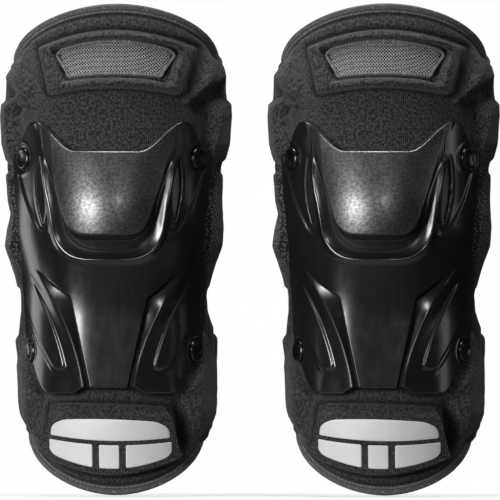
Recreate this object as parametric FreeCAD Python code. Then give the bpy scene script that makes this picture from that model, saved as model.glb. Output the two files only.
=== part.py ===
"""A pair of motorcycle knee guards: two alike guards, each a padded panel that wraps the knee and the
shin, with a riveted hard shell, a thigh flap that flexes, a knit band behind the knee and two straps that
open.

Millimetres, +Z up. Each guard wraps the leg's vertical axis with its front towards -Y. The origin is on
the left guard's leg axis, at the level of its lower edge. The right guard is the same guard, one pitch
away along +X.

Every layer is an offset of one leg surface. Its cross-sections are ellipses, so a place on the guard is
an angle round the leg (0 at the front, +90 at +X), a height, and a distance out from the lining."""
import FreeCAD
import Part
import math
import os
from FreeCAD import Vector

# Overall
HEIGHT = 300.0
PITCH = 164.4                # between the two guards' leg axes
GAP = 0.1                    # between layers that lie on each other

# Leg surface: half width, half depth and centre, from the shin to the thigh
SHIN_HALF_WIDTH, KNEE_HALF_WIDTH, THIGH_HALF_WIDTH = 45.7, 53.7, 56.0
SHIN_HALF_DEPTH, KNEE_HALF_DEPTH = 47.0, 55.5
FOOT_CENTRE_Y, SHIN_CENTRE_Y, KNEE_CENTRE_Y, THIGH_CENTRE_Y = 4.0, -3.0, -9.0, 5.0

# Layers, as distances out from the lining's inner face
LINING = 1.2
PANEL = 8.0                  # outer face of the padded panel
SKIN = PANEL + GAP           # what lies on the panel starts here
SHELL_THICKNESS = 2.5
SHELL_SIDE, SHELL_CROWN = 10.5, 4.5
LEAST_FOAM = 0.6             # under the shell's deepest recesses
PANEL_EDGE = 115.0           # degrees round the leg at which the padded panel ends
THIGH_EDGE = 95.0            # and where the thigh flap ends
EDGE_DROP_TOP, EDGE_RISE_BOTTOM = 34.0, 36.0
HEM = 3.0                    # height of the bound edge
HEM_OUT = PANEL + 1.4        # its outer face

# Thigh flap
FLEX_LOW, FLEX_HIGH = 236.0, 240.0
FLEX_DROP, FLEX_RISE = 5.0, 18.0   # how far the two edges part towards the back
RIDGE_X = 4.0                # the ridge and its vent sit a little to one side
RIDGE_OUT = 12.0
PIPING_WIDTH, PIPING_THICKNESS = 1.6, 2.0
MESH_THICKNESS = 1.2
FLEX_THICKNESS, FLEX_EDGE = 1.0, 52.0   # the stretch fabric above the shell, and its end in degrees
RIDGE_HALF, RIDGE_FLARE, VENT_HALF, VENT_FLARE = 41.0, 7.5, 31.0, 6.5

# Side cushions: the angles they span round the leg, and how far out they stand
UPPER_PAD_ANGLES, UPPER_PAD_OUT, UPPER_PAD_LOW = (72.0, 93.0), 16.0, 198.0
WING_BACK, WING_LOW, WING_HIGH, WING_OUT = 113.0, 140.0, 194.0, 12.4
SHIN_PAD_ANGLES, SHIN_PAD_OUT = (58.0, 94.0), 15.0
THIGH_PAD_ANGLES, THIGH_PAD_OUT = (64.0, 86.0), 13.5

# Shin block, and the reflective film on it
BLOCK_OUT, BLOCK_HALF, BLOCK_TAPER, BLOCK_TOP = 14.5, 44.0, 6.0, 56.0
FILM = (BLOCK_OUT + GAP, BLOCK_OUT + 0.5)
MIDDLE_PATCH_HALF, SIDE_PATCH_HALF, SIDE_PATCH_X = 6.0, 13.6, 24.0

# Shell
SHELL_LIP, EAR_RISE, EAR_FALL = 210.0, 18.0, 20.0      # upper edge: its middle, up to an ear, and down past it
SHELL_FOOT, LOBE_DROP, SIDE_RISE = 65.5, 3.5, 26.0     # lower edge: its middle, down to a lobe, and up past it
DOME_HEIGHT, DOME_CROWN_Z, DOME_BOTTOM_Z = 11.0, 155.0, 157.0
CHANNEL_DEPTH, CHANNEL_BOTTOM_Z = 3.0, 144.0
WEDGE_DEPTH, LEAF_HEIGHT = 3.8, 1.3
TEARDROP_DEPTH, RIVET_RECESS_DEPTH = 0.9, 0.9
SLOT_TOP, SLOT_BOTTOM, SLOT_HALF_WIDTH = (43.0, 206.0), (40.5, 166.0), 2.6

# Side lines of the shell's features, seen from the front: a height, the half width there, and how the half
# width grows with the height above it and with that height's square
DOME_SIDE, CHANNEL_SIDE = (169, 25.8, 0.346, 0), (169, 34.3, 0.16, 0)
STRIP_SIDE, WEDGE_SIDE = (65, 11.0, 0.205, 0), (64, 14.5, 0.116, 0.00407)
LEAF_INNER, LEAF_OUTER = (78, 26.0, 0.22, 0.0034), (77, 34.5, 0.62, -0.0035)
TEARDROP_INNER, TEARDROP_OUTER = (166, 36.3, 0.085, 0), (159, 42.0, 0.62, -0.0058)
WEDGE_TOP_X, WEDGE_TOP_Z, WEDGE_TOP_SLOPE = 22.4, 120.7, 1.285   # the slanted upper edge of each wedge

# Rivets: where each pair crosses the shell (half spacing, height), and the rivet itself
RIVET_PAIRS = ((53.0, 205.5), (50.0, 88.0))
RIVET_SHANK_R, RIVET_HEAD_R, RIVET_HEAD_H, RIVET_CROWN = 2.0, 7.0, 2.4, 1.6
RIVET_SEAT_R, RIVET_SEAT_DEPTH = 8.3, 1.2
WASHER_R, WASHER_THICKNESS = 6.5, 0.8
POCKET_REACH = 6.0           # how far the washers' pockets are cut inward, past the panel's inner face

# Straps: each has a lower edge, and they are as wide as each other
STRAP_WIDTH = 36.0
STRAPS = {"upper": 196.0, "lower": 62.0}
STRAP_THICKNESS = 2.0
STRAP_ON_LEG = 0.5
ANCHOR_EDGE, STRAP_START, STRAP_INWARD = 114.0, 116.5, 140.0
PATCH_FRONT, PATCH_THICKNESS, TAB_THICKNESS = 97.0, 1.2, 1.6

# Band behind the knee
BAND_BOTTOM, BAND_TOP, BAND_HOLLOW = 108.0, 186.0, 9.0


def ease(t):
    """0 to 1 with no kink at either end."""
    t = min(1.0, max(0.0, t))
    return t * t * (3 - 2 * t)


def blend(z, z0, z1, v0, v1):
    return v0 + (v1 - v0) * ease((z - z0) / (z1 - z0))


def half_width(z):
    below = blend(z, 118, 165, SHIN_HALF_WIDTH, KNEE_HALF_WIDTH)
    return below + blend(z, 238, 300, 0, THIGH_HALF_WIDTH - KNEE_HALF_WIDTH)


def half_depth(z):
    return blend(z, 105, 185, SHIN_HALF_DEPTH, KNEE_HALF_DEPTH)


def centre_y(z):
    lower = blend(z, 0, 55, FOOT_CENTRE_Y, SHIN_CENTRE_Y)
    knee = blend(z, 105, 185, 0, KNEE_CENTRE_Y - SHIN_CENTRE_Y)
    return lower + knee + blend(z, 238, 305, 0, THIGH_CENTRE_Y - KNEE_CENTRE_Y)


def place(angle, z, out):
    """The point at an angle in degrees round the leg, a height, and a distance out from the lining."""
    a = math.radians(angle)
    return Vector((half_width(z) + out) * math.sin(a), centre_y(z) - (half_depth(z) + out) * math.cos(a), z)


def angle_of(x, z, out):
    """The angle at which the surface that far out has this x, seen from the front."""
    return math.degrees(math.asin(max(-1.0, min(1.0, x / (half_width(z) + out)))))


def skin(inner, outer, nu, nv):
    """A closed solid between two smooth sheets, each given as a function of u and v from 0 to 1."""
    sheets = []
    for at in (inner, outer):
        sheet = Part.BSplineSurface()
        sheet.interpolate([[at(i / (nu - 1), j / (nv - 1)) for j in range(nv)] for i in range(nu)])
        sheets.append(sheet)
    u0, u1, v0, v1 = sheets[0].bounds()
    faces = [sheet.toShape() for sheet in sheets]
    rims = [[s.uIso(u0), s.uIso(u1), s.vIso(v0), s.vIso(v1)] for s in sheets]
    for near, far in zip(*rims):
        faces.append(Part.makeRuledSurface(near.toShape(), far.toShape()))
    shell = Part.makeShell(faces)
    shell.sewShape()
    solid = Part.makeSolid(shell)
    if solid.Volume < 0:
        solid.reverse()
    return solid


def sector(angles, heights, out_from, out_to, nu=17, nv=9):
    """A layer between two angles, with heights that may depend on the angle."""
    def at(out):
        def point(u, v):
            angle = angles[0] + u * (angles[1] - angles[0])
            low, high = heights(angle)
            return place(angle, low + v * (high - low), out)
        return point
    return skin(at(out_from), at(out_to), nu, nv)


def plate(half_x, low, high, outs, seen_at, centre_x=0.0, nu=21, nv=7):
    """A layer with an outline given as it is seen from the front, at the distance out seen_at: a half width
    for each share of the height, and a lower and an upper edge for each distance x from the middle."""
    def at(out):
        def point(u, v):
            x = (2 * u - 1) * half_x(v)
            z = low(x) + v * (high(x) - low(x))
            return place(angle_of(x + centre_x, z, seen_at), z, out)
        return point
    return skin(at(outs[0]), at(outs[1]), nu, nv)


def mirrored(solid):
    """The solid and its twin on the other side."""
    return Part.makeCompound([solid, solid.mirror(Vector(0, 0, 0), Vector(1, 0, 0))])


# Edges of the padded panel

def top_edge(angle):
    return HEIGHT - EDGE_DROP_TOP * (1 - math.cos(math.radians(angle))) ** 0.9


def bottom_edge(angle):
    return EDGE_RISE_BOTTOM * (1 - math.cos(math.radians(angle))) ** 0.9


def flex_low(angle):
    return FLEX_LOW - FLEX_DROP * ease((abs(angle) - 55) / 30)


def flex_high(angle):
    """The thigh flap's lower edge, which rises towards the back so that the flap can fold."""
    return FLEX_HIGH + FLEX_RISE * ease((abs(angle) - 50) / 45)


# Shell relief, in front-view x from the middle and height z

def smooth_max(a, b, reach):
    near = max(reach - abs(a - b), 0.0) / reach
    return max(a, b) + near * near * reach / 4


def side_line(line, z):
    """A feature's half width at a height."""
    foot, half, slope, bend = line
    return half + slope * (z - foot) + bend * (z - foot) ** 2


def shell_side(z):
    """Degrees round the leg at which the shell ends: widest round the shin, narrow below the dome."""
    return blend(z, 118, 156, 78, 60) + blend(z, 156, 206, 0, 8) - blend(z, 85, 118, 8, 0)


def shell_top(share):
    """The upper edge's height, at a share from -1 to 1 of the way to the shell's sides: low in the middle,
    with an ear on each side."""
    ear = EAR_RISE * ease((abs(share) - 0.24) / 0.40)
    return SHELL_LIP + ear - EAR_FALL * ease((abs(share) - 0.68) / 0.27)


def shell_bottom(share):
    lobe = LOBE_DROP * ease((abs(share) - 0.21) / 0.11)
    return SHELL_FOOT - lobe + SIDE_RISE * ease((abs(share) - 0.57) / 0.40)


def dome_and_channel(x, z):
    """The raised knee dome, in a U-shaped channel whose rim stands proud."""
    dome = smooth_max((x - side_line(DOME_SIDE, z)) * 0.945, DOME_BOTTOM_Z - z, 10)
    cup = smooth_max((x - side_line(CHANNEL_SIDE, z)) * 0.987, CHANNEL_BOTTOM_Z - z, 20)
    in_dome = ease((1.5 - dome) / 4)
    crown = DOME_HEIGHT * (1 - (x / 48) ** 2) * (1 - ((z - DOME_CROWN_Z) / 57) ** 2)
    rim = math.exp(-((cup - 0.5) / 2.2) ** 2) * ease((212 - z) / 20)
    return in_dome * crown - (1 - in_dome) * CHANNEL_DEPTH * ease(-cup / 5) + rim


def wedge(x, z):
    """The recess beside the middle strip: a steep wall at the strip, and a floor that rises away from it."""
    above = (x - WEDGE_TOP_X - (z - WEDGE_TOP_Z) * WEDGE_TOP_SLOPE) * 0.614
    beside = (x - side_line(STRIP_SIDE, z)) * 0.98
    outer = (side_line(WEDGE_SIDE, z) - x) * 0.85
    return -WEDGE_DEPTH * ease(min(above, beside) / 3) * min(1.0, max(0.0, outer / 8))


def leaf(x, z):
    """The raised leaf on each shin side of the shell, which fades out at its top."""
    inner = x - side_line(LEAF_INNER, z)
    outer = side_line(LEAF_OUTER, z) - x
    return LEAF_HEIGHT * ease(min(inner, outer, z - 76) / 3) * ease((136 - z) / 18)


def teardrop(x, z):
    """The sunk panel that holds the ear's rivet and the slot, and comes to a point below them."""
    outer = (side_line(TEARDROP_OUTER, z) - x) * 0.8
    inner = x - side_line(TEARDROP_INNER, z)
    return -TEARDROP_DEPTH * ease(min(outer, inner, (z - 158) * 0.8) / 2.5)


def rivet_recess(x, z):
    """The sunk strip outside the leaf, round the lower rivet."""
    inner = x - 2.5 - side_line(LEAF_OUTER, z)
    return -RIVET_RECESS_DEPTH * ease(min(inner, 122 - z, z - 72) / 3)


def shell_out(angle, z):
    """How far out the shell's outer face is."""
    base = SHELL_SIDE + SHELL_CROWN * math.cos(math.radians(angle))
    x = abs((half_width(z) + base) * math.sin(math.radians(angle)))
    lowest = SKIN + LEAST_FOAM + GAP + SHELL_THICKNESS
    relief = dome_and_channel(x, z) + wedge(x, z) + leaf(x, z) + teardrop(x, z) + rivet_recess(x, z)
    return smooth_max(base + relief, lowest, 1.0)


def shell_sheet(inset, drop, floor=None):
    """A sheet drop mm below the shell's outer face, or at a fixed floor, with the shell's outline pulled in
    by inset mm."""
    def point(u, v):
        share = 2 * u - 1
        low, high = shell_bottom(share) + inset, shell_top(share) - inset
        z = low + v * (high - low)
        angle = share * (shell_side(z) - inset)
        out = shell_out(angle, z) - drop if floor is None else floor
        return place(angle, z, out)
    return point


def slot_tool(widen):
    """A bar with the shape of a lens, along Y, through the shell's side slots."""
    (x1, z1), (x0, z0) = SLOT_TOP, SLOT_BOTTOM
    half, grow = SLOT_HALF_WIDTH + widen, widen
    low, high = Vector(x0, 0, z0 - grow), Vector(x1, 0, z1 + grow)
    middle = (low + high) / 2
    arcs = [Part.Arc(low, middle + Vector(side * half, 0, 0), high).toShape() for side in (-1, 1)]
    face = Part.Face(Part.Wire(Part.__sortEdges__(arcs)))
    face.translate(Vector(0, -120, 0))
    return mirrored(face.extrude(Vector(0, 120, 0)))


# Rivets

def rivet_places():
    """Each rivet's angle, height and outward direction, with the point on the lining under it."""
    for half_spacing, z in RIVET_PAIRS:
        for side in (-1, 1):
            angle = side * angle_of(half_spacing, z, SHELL_SIDE)
            a = math.radians(angle)
            w, d = half_width(z) + SHELL_SIDE, half_depth(z) + SHELL_SIDE
            outward = Vector(math.sin(a) / w, -math.cos(a) / d, 0)
            outward.normalize()
            yield angle, z, outward


def rod(angle, z, outward, radius, start, length):
    """A cylinder along a rivet's axis, from start mm along it beyond the shell's side face."""
    return Part.makeCylinder(radius, length, place(angle, z, SHELL_SIDE) + outward * start, outward)


def seat_depth(angle, z):
    """How far beyond the shell's side face the floor of a rivet's seat is."""
    return shell_out(angle, z) - SHELL_SIDE - RIVET_SEAT_DEPTH


def rivet(angle, z, outward):
    """A button-headed rivet: head on the seat, shank through to the washer."""
    seat = seat_depth(angle, z)
    tail = seat + SHELL_SIDE - LINING - 2 * GAP
    dome_r = (RIVET_HEAD_R ** 2 + RIVET_CROWN ** 2) / (2 * RIVET_CROWN)
    head = Part.makeCylinder(RIVET_HEAD_R, RIVET_HEAD_H)
    head = head.common(Part.makeSphere(dome_r, Vector(0, 0, RIVET_HEAD_H - dome_r)))
    shank = Part.makeCylinder(RIVET_SHANK_R, tail + RIVET_HEAD_H / 2, Vector(0, 0, -tail))
    body = head.fuse(shank).removeSplitter()
    body.Placement = FreeCAD.Placement(place(angle, z, SHELL_SIDE) + outward * seat,
                                       FreeCAD.Rotation(Vector(0, 0, 1), outward))
    return body


def washer_start():
    return LINING + 2 * GAP - SHELL_SIDE


def rivet_holes(radius):
    return [rod(a, z, n, radius, -SHELL_SIDE - 4, SHELL_SIDE + 14) for a, z, n in rivet_places()]


# Pieces of one guard

def shell():
    body = skin(shell_sheet(0, SHELL_THICKNESS), shell_sheet(0, 0), 65, 65)
    seats = [rod(a, z, n, RIVET_SEAT_R, seat_depth(a, z), 10) for a, z, n in rivet_places()]
    return body.cut(rivet_holes(RIVET_SHANK_R + GAP) + seats + [slot_tool(0)])


def impact_foam():
    """The foam that fills the space between the shell and the panel, with a window under each slot."""
    body = skin(shell_sheet(2, 0, SKIN), shell_sheet(2, SHELL_THICKNESS + GAP), 65, 65)
    return body.cut(rivet_holes(RIVET_SHANK_R + GAP) + [slot_tool(2.5)])


def slot_mesh():
    window = skin(shell_sheet(2, 0, SKIN), shell_sheet(2, 0, SKIN + MESH_THICKNESS), 33, 33)
    return window.common(slot_tool(2.2))


def knee_heights(a):
    return bottom_edge(a) + HEM, flex_low(a)


def knee_panel():
    body = sector((-PANEL_EDGE, PANEL_EDGE), knee_heights, LINING + GAP, PANEL, 41, 41)
    start, depth = washer_start() - POCKET_REACH, POCKET_REACH + WASHER_THICKNESS + GAP
    pockets = [rod(a, z, n, WASHER_R + 2 * GAP, start, depth) for a, z, n in rivet_places()]
    return body.cut(rivet_holes(RIVET_SHANK_R + GAP) + pockets)


def knee_lining():
    return sector((-PANEL_EDGE, PANEL_EDGE), knee_heights, 0, LINING - 2 * GAP, 41, 41)


def rivets():
    return Part.makeCompound([rivet(*spot) for spot in rivet_places()])


def rivet_washers():
    rings = []
    start = washer_start()
    for a, z, n in rivet_places():
        bore = rod(a, z, n, RIVET_SHANK_R + GAP / 2, start - 1, WASHER_THICKNESS + 2)
        rings.append(rod(a, z, n, WASHER_R, start, WASHER_THICKNESS).cut(bore))
    return Part.makeCompound(rings)


def flex_panel():
    """The stretch fabric between the shell's upper lip and the ridge."""
    lip_side = shell_side(RIVET_PAIRS[0][1])
    heights = lambda a: (shell_top(a / lip_side) + 1.5, FLEX_HIGH + 1)
    return sector((-FLEX_EDGE, FLEX_EDGE), heights, SKIN, SKIN + FLEX_THICKNESS, 25, 5)


def upper_side_pads():
    heights = lambda a: (UPPER_PAD_LOW, flex_low(a) - 1.5)
    return mirrored(sector(UPPER_PAD_ANGLES, heights, SKIN, UPPER_PAD_OUT))


def knee_wings():
    """The wings beside the knee, which start just behind the shell's edge."""
    def at(out):
        def point(u, v):
            z = WING_LOW + v * (WING_HIGH - WING_LOW)
            front = shell_side(z) + 3
            return place(front + u * (WING_BACK - front), z, out)
        return point
    return mirrored(skin(at(SKIN), at(WING_OUT), 13, 13))


def shin_side_pads():
    """The cushions beside the shin, whose lower edges rise towards the back."""
    def heights(a):
        return 24 + 0.56 * (a - SHIN_PAD_ANGLES[0]), 60 + 36 * ease((a - 60) / 22)
    return mirrored(sector(SHIN_PAD_ANGLES, heights, SKIN, SHIN_PAD_OUT, 17, 13))


def shin_block():
    """The raised foam block below the shell, which carries the reflective film."""
    return plate(lambda v: BLOCK_HALF - BLOCK_TAPER * v, lambda x: 12 + 0.006 * x * x, lambda x: BLOCK_TOP,
                 (SKIN, BLOCK_OUT), BLOCK_OUT)


def reflector_band():
    return plate(lambda v: 36.5 - 5 * v ** 3, lambda x: 33.3 + 0.002 * x * x, lambda x: 46.6 - 0.0012 * x * x,
                 FILM, BLOCK_OUT)


def reflector_panels():
    """The three patches under the band, with seams between them."""
    def patch(centre_x, half):
        return plate(lambda v: half, lambda x: 16.3 + 0.0062 * (x + centre_x) ** 2,
                     lambda x: 30.6 + 0.002 * (x + centre_x) ** 2, FILM, BLOCK_OUT, centre_x, 13, 5)
    sides = mirrored(patch(SIDE_PATCH_X, SIDE_PATCH_HALF))
    return Part.makeCompound([patch(0, MIDDLE_PATCH_HALF)] + sides.Solids)


def shin_hem():
    heights = lambda a: (bottom_edge(a), bottom_edge(a) + HEM - GAP)
    return sector((-PANEL_EDGE, PANEL_EDGE), heights, 0, HEM_OUT, 41, 3)


def back_band():
    """The knit band behind the knee, lower in the middle of its edges than at its ends."""
    def edges(a):
        hollow = BAND_HOLLOW * math.sin(math.radians(a - PANEL_EDGE) * 180 / (360 - 2 * PANEL_EDGE))
        return BAND_BOTTOM + hollow, BAND_TOP - hollow
    return sector((PANEL_EDGE + 0.3, 360 - PANEL_EDGE - 0.3), edges, 0.5, 2.5, 33, 13)


def strap_heights(name):
    return lambda a: (STRAPS[name], STRAPS[name] + STRAP_WIDTH)


def side_patches(angles):
    """A patch on the panel for each strap, between two angles."""
    outer = SKIN + PATCH_THICKNESS
    return Part.makeCompound([sector(angles, strap_heights(name), SKIN, outer) for name in STRAPS])


def strap_anchors():
    return side_patches((-ANCHOR_EDGE, -PATCH_FRONT))


def loop_patches():
    return side_patches((PATCH_FRONT, ANCHOR_EDGE))


def strap_out(angle):
    """The strap's inner face: on the leg behind, and out over the panel's edges at each end."""
    from_end = min(angle - STRAP_START, 360 - STRAP_START - angle)
    over_panel = SKIN + PATCH_THICKNESS + 2 * GAP - STRAP_ON_LEG
    return STRAP_ON_LEG + over_panel * (1 - ease(from_end / (STRAP_INWARD - STRAP_START)))


def strap(name):
    """The elastic band, whose end at the anchor is round, because it turns there."""
    low = STRAPS[name]
    first, last = STRAP_START, 360 - STRAP_START
    def at(extra):
        return lambda u, v: place(first + u * (last - first), low + STRAP_WIDTH * v,
                                  strap_out(first + u * (last - first)) + extra)
    pivot = strap_pivot(name)
    knuckle = Part.makeCylinder(STRAP_THICKNESS / 2, STRAP_WIDTH, pivot, Vector(0, 0, 1))
    return skin(at(0), at(STRAP_THICKNESS), 41, 3).fuse(knuckle).removeSplitter()


def strap_pivot(name):
    """Where the strap turns: in the middle of its thickness, at its anchored end."""
    return place(360 - STRAP_START, STRAPS[name], strap_out(360 - STRAP_START) + STRAP_THICKNESS / 2)


def hook_tab(name):
    start = SKIN + PATCH_THICKNESS + 2 * GAP
    return sector((PATCH_FRONT - 1, STRAP_START - 0.2), strap_heights(name), start, start + TAB_THICKNESS)


def thigh_heights(a):
    return flex_high(a), top_edge(a) - HEM


def thigh_panel():
    return sector((-THIGH_EDGE, THIGH_EDGE), thigh_heights, LINING + GAP, PANEL, 41, 17)


def thigh_lining():
    return sector((-THIGH_EDGE, THIGH_EDGE), thigh_heights, 0, LINING, 41, 17)


def thigh_hem():
    heights = lambda a: (top_edge(a) - HEM + GAP, top_edge(a))
    return sector((-THIGH_EDGE, THIGH_EDGE), heights, 0, HEM_OUT, 41, 3)


def vent_outline(inset, low_out, high_out):
    """The vent's outline, pulled in by inset mm: a curved trapezium that is wider at its top."""
    return plate(lambda v: VENT_HALF + VENT_FLARE * v - inset, lambda x: 256.5 - 0.0022 * x * x + inset,
                 lambda x: 277.5 - 0.0045 * x * x - inset, (low_out, high_out), RIDGE_OUT, RIDGE_X)


def thigh_ridge():
    """The raised foam frame round the vent."""
    body = plate(lambda v: RIDGE_HALF + RIDGE_FLARE * v, lambda x: 248 - 0.0026 * x * x,
                 lambda x: 284 - 0.0043 * x * x, (SKIN, RIDGE_OUT), RIDGE_OUT, RIDGE_X, 25, 9)
    return body.cut(vent_outline(-GAP, SKIN - 4, RIDGE_OUT + 6))


def vent_piping():
    return vent_outline(0, SKIN, SKIN + PIPING_THICKNESS).cut(vent_outline(PIPING_WIDTH, SKIN - 3, SKIN + 6))


def vent_mesh():
    return vent_outline(PIPING_WIDTH + GAP, SKIN, SKIN + MESH_THICKNESS)


def thigh_side_pads():
    heights = lambda a: (flex_high(a) + 1, top_edge(a) - HEM - 3)
    return mirrored(sector(THIGH_PAD_ANGLES, heights, SKIN, THIGH_PAD_OUT))


GUARD = {
    "shell": shell,
    "impact_foam": impact_foam,
    "slot_mesh": slot_mesh,
    "knee_panel": knee_panel,
    "knee_lining": knee_lining,
    "rivets": rivets,
    "rivet_washers": rivet_washers,
    "flex_panel": flex_panel,
    "upper_side_pads": upper_side_pads,
    "knee_wings": knee_wings,
    "shin_side_pads": shin_side_pads,
    "shin_block": shin_block,
    "reflector_band": reflector_band,
    "reflector_panels": reflector_panels,
    "shin_hem": shin_hem,
    "back_band": back_band,
    "strap_anchors": strap_anchors,
    "loop_patches": loop_patches,
    "thigh_panel": thigh_panel,
    "thigh_lining": thigh_lining,
    "thigh_hem": thigh_hem,
    "thigh_ridge": thigh_ridge,
    "vent_piping": vent_piping,
    "vent_mesh": vent_mesh,
    "thigh_side_pads": thigh_side_pads,
    "upper_strap": lambda: strap("upper"),
    "upper_hook_tab": lambda: hook_tab("upper"),
    "lower_strap": lambda: strap("lower"),
    "lower_hook_tab": lambda: hook_tab("lower"),
}


def main():
    os.makedirs("parts", exist_ok=True)
    for name, make in GUARD.items():
        piece = make()
        if not piece.isValid():
            print("not valid:", name)
        print(name, len(piece.Solids), round(piece.Volume))
        piece.exportStep(f"parts/left_{name}.step")
        piece.translated(Vector(PITCH, 0, 0)).exportStep(f"parts/right_{name}.step")
    for name in STRAPS:
        print(name, "strap turns at", strap_pivot(name))


main()
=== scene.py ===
"""The looks of a pair of motorcycle knee guards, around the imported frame.

Shapes are worked out in millimetres on the leg surface: an angle round the leg (0 at the front, +90 at +X),
a height, and a distance out from the lining. They become metres when a mesh is made. Each piece is made for
the left guard and copied, one pitch away, for the right."""
import math
import bpy
import numpy as np
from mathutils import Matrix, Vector


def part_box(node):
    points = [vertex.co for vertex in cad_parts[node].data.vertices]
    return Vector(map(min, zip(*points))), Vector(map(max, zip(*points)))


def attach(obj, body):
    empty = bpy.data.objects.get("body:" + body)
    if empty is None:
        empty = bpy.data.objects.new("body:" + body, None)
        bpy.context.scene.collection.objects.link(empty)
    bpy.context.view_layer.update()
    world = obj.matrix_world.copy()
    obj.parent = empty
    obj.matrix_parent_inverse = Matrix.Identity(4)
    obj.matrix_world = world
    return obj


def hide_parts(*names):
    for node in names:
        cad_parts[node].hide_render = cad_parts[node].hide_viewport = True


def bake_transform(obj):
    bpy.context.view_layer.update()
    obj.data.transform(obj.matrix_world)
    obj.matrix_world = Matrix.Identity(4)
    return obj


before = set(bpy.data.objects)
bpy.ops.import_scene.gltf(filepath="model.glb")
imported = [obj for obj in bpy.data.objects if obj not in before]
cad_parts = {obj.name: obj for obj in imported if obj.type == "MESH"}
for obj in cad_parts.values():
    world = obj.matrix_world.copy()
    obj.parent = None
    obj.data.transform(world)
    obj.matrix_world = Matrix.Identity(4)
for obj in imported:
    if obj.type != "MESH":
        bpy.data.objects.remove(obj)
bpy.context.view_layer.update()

MM = 0.001
DIAGONAL = 0.707             # the sine and cosine of 45 degrees
PITCH = (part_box("right_shell")[0].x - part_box("left_shell")[0].x) / MM

# Leg surface
SHIN_HALF_WIDTH, KNEE_HALF_WIDTH, THIGH_HALF_WIDTH = 45.7, 53.7, 56.0
SHIN_HALF_DEPTH, KNEE_HALF_DEPTH = 47.0, 55.5
FOOT_CENTRE_Y, SHIN_CENTRE_Y, KNEE_CENTRE_Y, THIGH_CENTRE_Y = 4.0, -3.0, -9.0, 5.0
MEAN_RADIUS = 60.0           # turns an angle round the leg into a length for the textures

# Layers
LINING_OUT, PANEL = 1.25, 8.0
HEIGHT = 300.0
PANEL_EDGE, THIGH_EDGE = 115.0, 95.0
HEM = 6.0
TOP_LEAN, BOTTOM_LEAN = 4.2, 3.6       # the ends are highest and lowest a little to the right of the front
SHELL_THICKNESS = 2.5
SHELL_SIDE, SHELL_CROWN = 10.5, 4.5
SHELL_LOWEST = 11.3
BLOCK_OUT, BLOCK_TILT = 14.5, 0.026
RIDGE_X, RIDGE_OUT = 4.0, 12.0
VENT_CORNER = 3.0

# Shell features
SHELL_LIP, EAR_RISE, EAR_FALL = 210.0, 18.0, 20.0         # upper edge: its middle, up to an ear, down past it
SHELL_FOOT, LOBE_DROP, SIDE_RISE = 65.5, 3.5, 26.0        # lower edge: its middle, down to a lobe, up past it
DOME_HEIGHT, DOME_CROWN_Z, DOME_BOTTOM_Z = 11.0, 155.0, 157.0
DOME_HALF_WIDTH, DOME_HALF_HEIGHT = 43.0, 57.0       # where its crown would come down to nothing
CHANNEL_DEPTH, CHANNEL_BOTTOM_Z = 3.0, 144.0
RIM_HEIGHT, RIM_HALF, RIM_TOP = 1.5, 1.6, 212.0
WEDGE_DEPTH, BLADE_HEIGHT, LEAF_HEIGHT = 3.8, 1.8, 1.3
STRIP_FLATNESS = 0.009       # the middle strip is flat from side to side, so it stands out at its edges
TEARDROP_DEPTH, RIVET_RECESS_DEPTH = 0.9, 0.9
SLOT_TOP, SLOT_BOTTOM, SLOT_HALF_WIDTH = (43.0, 206.0), (40.5, 166.0), 2.6
RIVET_PAIRS = ((53.0, 205.5), (50.0, 88.0))
RIVET_SEAT_R, RIVET_SEAT_DEPTH = 8.3, 1.2

# Straps and band behind
STRAP_WIDTH, STRAP_THICKNESS, STRAP_ON_LEG = 36.0, 2.0, 0.5
STRAPS = {"upper": 196.0, "lower": 62.0}
STRAP_START, STRAP_INWARD, STRAP_END_OUT = 116.5, 140.0, 9.5
ANCHOR_EDGE, PATCH_FRONT = 114.0, 97.0
TAB_CORNER, TAB_THICKNESS, TAB_OUT = 6.0, 1.55, 9.45
BAND_BOTTOM, BAND_TOP, BAND_HOLLOW = 108.0, 186.0, 9.0


# ---------------------------------------------------------------- the leg surface

def ease(t):
    t = np.clip(t, 0.0, 1.0)
    return t * t * (3 - 2 * t)


def ramp(z, z0, z1, v0, v1):
    return v0 + (v1 - v0) * ease((z - z0) / (z1 - z0))


def half_width(z):
    thigh = ramp(z, 238, 300, 0, THIGH_HALF_WIDTH - KNEE_HALF_WIDTH)
    return ramp(z, 118, 165, SHIN_HALF_WIDTH, KNEE_HALF_WIDTH) + thigh


def half_depth(z):
    return ramp(z, 105, 185, SHIN_HALF_DEPTH, KNEE_HALF_DEPTH)


def centre_y(z):
    knee = ramp(z, 105, 185, 0, KNEE_CENTRE_Y - SHIN_CENTRE_Y)
    thigh = ramp(z, 238, 305, 0, THIGH_CENTRE_Y - KNEE_CENTRE_Y)
    return ramp(z, 0, 55, FOOT_CENTRE_Y, SHIN_CENTRE_Y) + knee + thigh


def place(angle, z, out):
    a = np.radians(angle)
    x = (half_width(z) + out) * np.sin(a)
    y = centre_y(z) - (half_depth(z) + out) * np.cos(a)
    return np.stack([x, y, z + 0 * x], -1)


def seen_x(angle, z, out):
    """How far to the right of the middle a place on the surface is, seen from the front."""
    return (half_width(z) + out) * np.sin(np.radians(angle))


def angle_of(x, z, out):
    return np.degrees(np.arcsin(np.clip(x / (half_width(z) + out), -1, 1)))


def arc(angle):
    return np.radians(angle) * MEAN_RADIUS


def smooth_max(a, b, reach):
    near = np.maximum(reach - np.abs(a - b), 0.0) / reach
    return np.maximum(a, b) + near * near * reach / 4


def smooth_min(a, b, reach):
    return -smooth_max(-a, -b, reach)


def through(inner, outer, side):
    """A place through a layer: side goes from -1, its inner face, to 1, its outer face."""
    return (inner + outer) / 2 + side * (outer - inner) / 2


def line_at(distance, half):
    """1 along a line, falling to nothing a little more than half mm from it."""
    return np.exp(-(distance / half) ** 2)


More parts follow.
